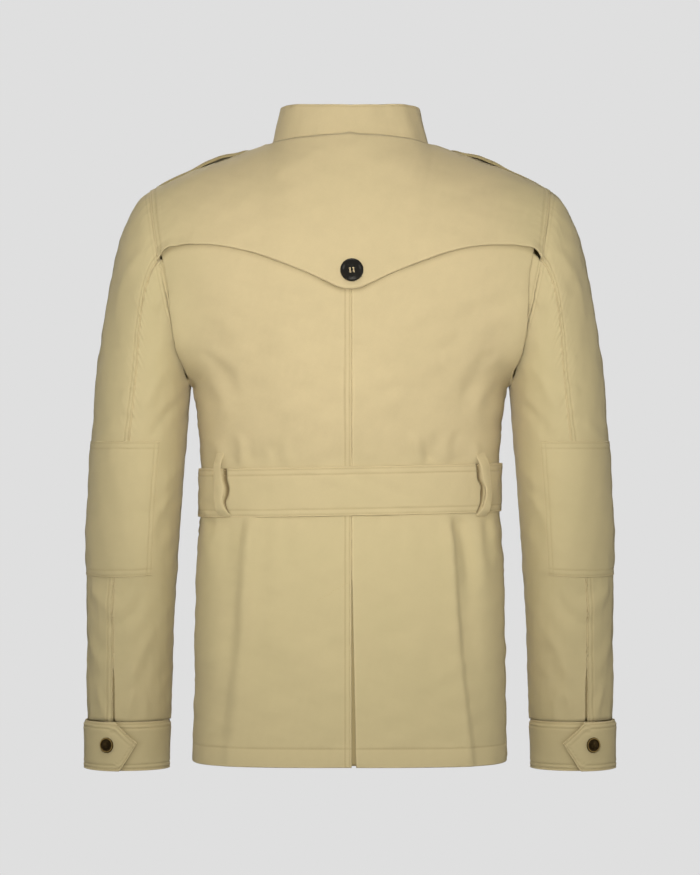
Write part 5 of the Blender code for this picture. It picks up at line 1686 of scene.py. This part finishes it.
COAT_BUTTON = (
    (0, 0.6),
    (8.6, 0.6),
    (11.6, 1.2),
    (13, 2.6),
    (12.7, 3.9),
    (11.6, 4.4),
    (10.2, 4.2),
    (8.7, 3.2),
    (4.2, 2.9),
    (0, 2.9),
)
BRASS_BUTTON = (
    (0, 0.5),
    (2.2, 0.5),
    (2.4, 1.5),
    (7.4, 1.8),
    (8.8, 2.9),
    (8.1, 4.0),
    (7.2, 4.1),
    (6.5, 3.5),
    (5.2, 3.4),
    (4.2, 3.9),
    (2.0, 4.3),
    (0, 4.4),
)
HOLE_RADIUS = 1.15
HOLE_REACH = 2.75
STRAND_HEIGHT = 3.05
STRAND_RADIUS = 0.27
STRAND_DIP = 1.5


def frame_of(box, facing):
    """The matrix that stands a button at the middle of its box, its back against the cloth."""
    low, high = (Vector(corner) for corner in box)
    turn = Vector(facing).to_track_quat("Z", "X").to_matrix().to_4x4()
    return Matrix.Translation((low + high) / 2) @ turn @ Matrix.Translation((0, 0, -2.5 * MM))


def coat_button(name, node, facing, tilt):
    """A big four-hole button with a raised rim, sewn on by two bars of thread."""
    bm = turned(rounded(COAT_BUTTON))
    place = frame_of(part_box(node), facing) @ Matrix.Rotation(tilt, 4, "Z")
    made = add_object(name, bm, HORN)
    holes = bmesh.new()
    for corner in range(4):
        angle = math.radians(45 + 90 * corner)
        shift = Matrix.Translation((HOLE_REACH * MM * math.cos(angle), HOLE_REACH * MM * math.sin(angle), 2 * MM))
        size = {"radius1": HOLE_RADIUS * MM, "radius2": HOLE_RADIUS * MM, "depth": 8 * MM}
        bmesh.ops.create_cone(holes, cap_ends=True, segments=20, matrix=shift, **size)
    mesh = bpy.data.meshes.new(name + "_holes")
    holes.to_mesh(mesh)
    holes.free()
    cutter = bpy.data.objects.new(name + "_holes", mesh)
    bpy.context.scene.collection.objects.link(cutter)
    cut = made.modifiers.new("holes", "BOOLEAN")
    cut.object = cutter
    cut.operation = "DIFFERENCE"
    bpy.context.view_layer.update()
    graph = bpy.context.evaluated_depsgraph_get()
    solid = bpy.data.meshes.new_from_object(made.evaluated_get(graph))
    made.modifiers.clear()
    made.data = solid
    bpy.data.objects.remove(cutter, do_unlink=True)
    solid.transform(place)
    solid.shade_smooth()
    solid.set_sharp_from_angle(angle=math.radians(40))
    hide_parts(node)
    sew(name + "_thread", place)
    return made


def sew(name, place):
    """Six strands from hole to hole, in two bars."""
    bm = bmesh.new()
    for row in (-1, 1):
        for strand in (-1, 0, 1):
            y = (row * HOLE_REACH * 0.707 + strand * 0.42) * MM
            half = HOLE_REACH * 0.707 * MM
            before = set(bm.verts)
            lay_down = Matrix.Translation((0, y, STRAND_HEIGHT * MM)) @ Matrix.Rotation(math.pi / 2, 4, "Y")
            size = {"radius1": STRAND_RADIUS * MM, "radius2": STRAND_RADIUS * MM, "depth": 2 * half + 0.9 * MM}
            bmesh.ops.create_cone(bm, cap_ends=True, segments=8, matrix=lay_down, **size)
            strand_verts = [vert for vert in bm.verts if vert not in before]
            long = {edge for vert in strand_verts for edge in vert.link_edges}
            bars = [edge for edge in long if abs(edge.verts[0].co.x - edge.verts[1].co.x) > half]
            bmesh.ops.subdivide_edges(bm, edges=bars, cuts=5)
            for vert in bm.verts:
                if vert not in before:
                    vert.co.z -= STRAND_DIP * MM * abs(vert.co.x / (half + 0.45 * MM)) ** 5
    bm.transform(place)
    thread = add_object(name, bm, PALE_THREAD)
    return thread


def brass_button(name, node, facing):
    """A small domed button with a rolled rim, dark in its hollow."""
    bm = turned(rounded(BRASS_BUTTON, 0.3, 2), 48)
    wear_and_highlight = bm.verts.layers.float.new("wear_and_highlight")
    for vert in bm.verts:
        radius, height = vert.co.xy.length / MM, vert.co.z / MM
        vert[wear_and_highlight] = 0.95 * float(ease(height, 3.6, 4.0)) * float(ease(radius, 6.6, 7.2))
    bm.transform(frame_of(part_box(node), facing))
    made = add_object(name, bm, AGED_BRASS)
    made.data.set_sharp_from_angle(angle=math.radians(50))
    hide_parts(node)
    return made


def buttons():
    coat_button("yoke_button_horn", "yoke_button", (0.0, 0.995, 0.10), 0.12)
    for index in range(FRONT_BUTTONS):
        slope = (0.0, -1.0, 0.20) if index == 0 else (0.0, -1.0, 0.03)
        node = f"front_button_{index + 1}"
        coat_button(f"{node}_horn", node, slope, 0.3 * math.sin(3.1 * index))
    for word, side in SIDES:
        turn = math.radians(CUFF_BUTTON_TURN)
        facing = (math.cos(turn) * side, math.sin(turn), 0.0)
        brass_button(f"cuff_button_{word}_brass", f"cuff_button_{word}", facing)


# Stitching.

STITCH_PITCH = 3.1
STITCH_LENGTH = 2.3
STITCH_RADIUS = 0.30
STITCH_SUNK = 0.05


def stitch_shape():
    """One stitch: a short bead of thread lying along X."""
    bm = bmesh.new()
    bmesh.ops.create_icosphere(bm, subdivisions=1, radius=1.0)
    bmesh.ops.scale(bm, verts=bm.verts[:], vec=(STITCH_LENGTH / 2 * MM, STITCH_RADIUS * MM, STITCH_RADIUS * MM))
    mesh = bpy.data.meshes.new("one_stitch")
    bm.to_mesh(mesh)
    bm.free()
    mesh.shade_smooth()
    made = bpy.data.objects.new("one_stitch", mesh)
    bpy.context.scene.collection.objects.link(made)
    return made


ONE_STITCH = stitch_shape()


def repeat_group():
    """Nodes that put one stitch on each point, turned as its attribute says, and join them."""
    tree = bpy.data.node_groups.new("repeat_stitch", "GeometryNodeTree")
    tree.interface.new_socket("Geometry", in_out="INPUT", socket_type="NodeSocketGeometry")
    tree.interface.new_socket("Geometry", in_out="OUTPUT", socket_type="NodeSocketGeometry")
    ends = tree.nodes.new("NodeGroupInput"), tree.nodes.new("NodeGroupOutput")
    shape = tree.nodes.new("GeometryNodeObjectInfo")
    shape.inputs["Object"].default_value = ONE_STITCH
    turn = tree.nodes.new("GeometryNodeInputNamedAttribute")
    turn.data_type = "FLOAT_VECTOR"
    turn.inputs["Name"].default_value = "turn"
    put = tree.nodes.new("GeometryNodeInstanceOnPoints")
    join = tree.nodes.new("GeometryNodeRealizeInstances")
    tree.links.new(ends[0].outputs[0], put.inputs["Points"])
    tree.links.new(shape.outputs["Geometry"], put.inputs["Instance"])
    tree.links.new(turn.outputs["Attribute"], put.inputs["Rotation"])
    tree.links.new(put.outputs[0], join.inputs[0])
    tree.links.new(join.outputs[0], ends[1].inputs[0])
    return tree


REPEAT_STITCH = repeat_group()


def stitch(name, threads):
    """Rows of stitches: each thread is a line of points with the cloth's normals, in millimetres."""
    places, turns = [], []
    for path, normal in threads:
        if len(path) < 2:
            continue
        run = np.concatenate([[0.0], np.linalg.norm(np.diff(path, axis=0), axis=1).cumsum()])
        at = np.arange(STITCH_PITCH / 2, run[-1], STITCH_PITCH)
        here = np.stack([np.interp(at, run, path[:, k]) for k in range(3)], 1)
        out = unit(np.stack([np.interp(at, run, normal[:, k]) for k in range(3)], 1))
        ahead = np.stack([np.interp(at + 1.0, run, path[:, k]) for k in range(3)], 1)
        behind = np.stack([np.interp(at - 1.0, run, path[:, k]) for k in range(3)], 1)
        along = unit(ahead - behind)
        across = unit(np.cross(out, along))
        out = np.cross(along, across)
        places.append(here + out * (STITCH_RADIUS * 0.5 - STITCH_SUNK))
        turns += [Matrix(np.stack(axes, 1).tolist()).to_euler()[:] for axes in zip(along, across, out)]
    places = np.concatenate(places)
    mesh = bpy.data.meshes.new(name)
    mesh.vertices.add(len(places))
    mesh.vertices.foreach_set("co", (places * MM).ravel())
    turn = mesh.attributes.new("turn", "FLOAT_VECTOR", "POINT")
    turn.data.foreach_set("vector", np.array(turns, float).ravel())
    made = bpy.data.objects.new(name, mesh)
    bpy.context.scene.collection.objects.link(made)
    made.modifiers.new("repeat", "NODES").node_group = REPEAT_STITCH
    bpy.context.view_layer.update()
    graph = bpy.context.evaluated_depsgraph_get()
    joined = bpy.data.meshes.new_from_object(made.evaluated_get(graph))
    made.modifiers.clear()
    made.data = joined
    joined.name = name
    joined.materials.clear()
    joined.materials.append(THREAD_MATERIAL)
    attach(made, "root")
    return made


# Stage.


def stage_finish(name, level):
    finish = Finish(name)
    finish.set(Base_Color=(0.0, 0.0, 0.0, 1.0), Roughness=1.0)
    finish.set(Emission_Color=(level, level, level, 1.0), Emission_Strength=1.0)
    finish.surface.inputs["Specular IOR Level"].default_value = 0.0
    return finish.material


PALE = 0.738
FLOOR_Z = -1.45
AMBIENT = 0.17


def stage():
    """A pale floor and a pale surround."""
    bm = bmesh.new()
    bmesh.ops.create_grid(bm, x_segments=1, y_segments=1, size=6.0)
    bmesh.ops.translate(bm, verts=bm.verts[:], vec=(0.0, 0.0, FLOOR_Z))
    mesh = bpy.data.meshes.new("floor")
    bm.to_mesh(mesh)
    bm.free()
    floor = bpy.data.objects.new("floor", mesh)
    floor.data.materials.append(stage_finish("pale_floor", PALE))
    bpy.context.scene.collection.objects.link(floor)
    floor.visible_diffuse = False
    floor.visible_glossy = False
    floor.visible_shadow = False
    world = bpy.data.worlds.new("studio")
    world.use_nodes = True
    bpy.context.scene.world = world
    tree = world.node_tree
    sky = tree.nodes["Background"]
    seen = tree.nodes.new("ShaderNodeBackground")
    seen.inputs["Color"].default_value = (PALE, PALE, PALE, 1.0)
    sky.inputs["Color"].default_value = (1.0, 0.95, 0.84, 1.0)
    sky.inputs["Strength"].default_value = AMBIENT
    rays = tree.nodes.new("ShaderNodeLightPath")
    mix = tree.nodes.new("ShaderNodeMixShader")
    tree.links.new(rays.outputs["Is Camera Ray"], mix.inputs[0])
    tree.links.new(sky.outputs[0], mix.inputs[1])
    tree.links.new(seen.outputs[0], mix.inputs[2])
    tree.links.new(mix.outputs[0], tree.nodes["World Output"].inputs[0])


# Each light: name, x, y, z, the height it aims at, size, spread in degrees, watts, colour.
LIGHTS = (
    ("key", 0.04, 2.0, -0.14, -0.24, 0.6, 66.0, 4.7, (1.0, 0.965, 0.93)),
    ("top", 0.10, 1.4, 1.15, -0.08, 0.8, 120.0, 2.6, (1.0, 0.95, 0.85)),
    ("fill", -2.3, 1.0, -0.5, -0.26, 1.6, 180.0, 6.5, (1.0, 0.96, 0.84)),
    ("other_fill", 2.3, 1.0, -0.5, -0.26, 1.6, 180.0, 5.5, (1.0, 0.96, 0.84)),
    ("front", 0.3, -2.1, 0.9, -0.26, 1.3, 180.0, 22.0, (1.0, 0.95, 0.86)),
    ("glint", -0.75, 1.9, 0.0, -0.26, 0.35, 180.0, 0.35, (0.85, 0.92, 1.0)),
    ("other_glint", 0.95, 1.8, 0.5, -0.26, 0.25, 180.0, 0.25, (0.85, 0.92, 1.0)),
)


def lights():
    for name, x, y, z, aim_z, size, spread, watts, colour in LIGHTS:
        lamp = bpy.data.lights.new(name, "AREA")
        lamp.shape = "DISK"
        lamp.size = size
        lamp.spread = math.radians(spread)
        lamp.energy = watts
        lamp.color = colour
        made = bpy.data.objects.new(name, lamp)
        made.location = (x, y, z)
        made.rotation_euler = (Vector((0.0, 0.0, aim_z)) - made.location).to_track_quat("-Z", "Y").to_euler()
        made.visible_glossy = name != "key"
        bpy.context.scene.collection.objects.link(made)


def camera():
    eye = bpy.data.cameras.new("camera")
    eye.sensor_fit = "HORIZONTAL"
    eye.sensor_width = 36.0
    eye.lens = 162.4
    made = bpy.data.objects.new("camera", eye)
    made.location = (0.0, 3.6, -0.340)
    made.rotation_euler = (math.pi / 2, 0.0, math.pi)
    bpy.context.scene.collection.objects.link(made)
    bpy.context.scene.camera = made


def build():
    for word, side in SIDES:
        back_panel(word, side)
        back_pleat(word, side)
        front_panel(word, side)
        sleeves(word, side)
        elbow_patch(word, side)
        placket(word, side)
        cuff_band(word, side)
        shoulder_strap(word, side)
    cape()
    vent_underlay()
    collar_band()
    belt()
    for word, side in SIDES:
        belt_loop(word, side)
    buckle()
    buttons()
    bpy.data.objects.remove(ONE_STITCH, do_unlink=True)


bpy.context.scene.view_settings.view_transform = "Standard"
camera()
lights()
stage()
build()
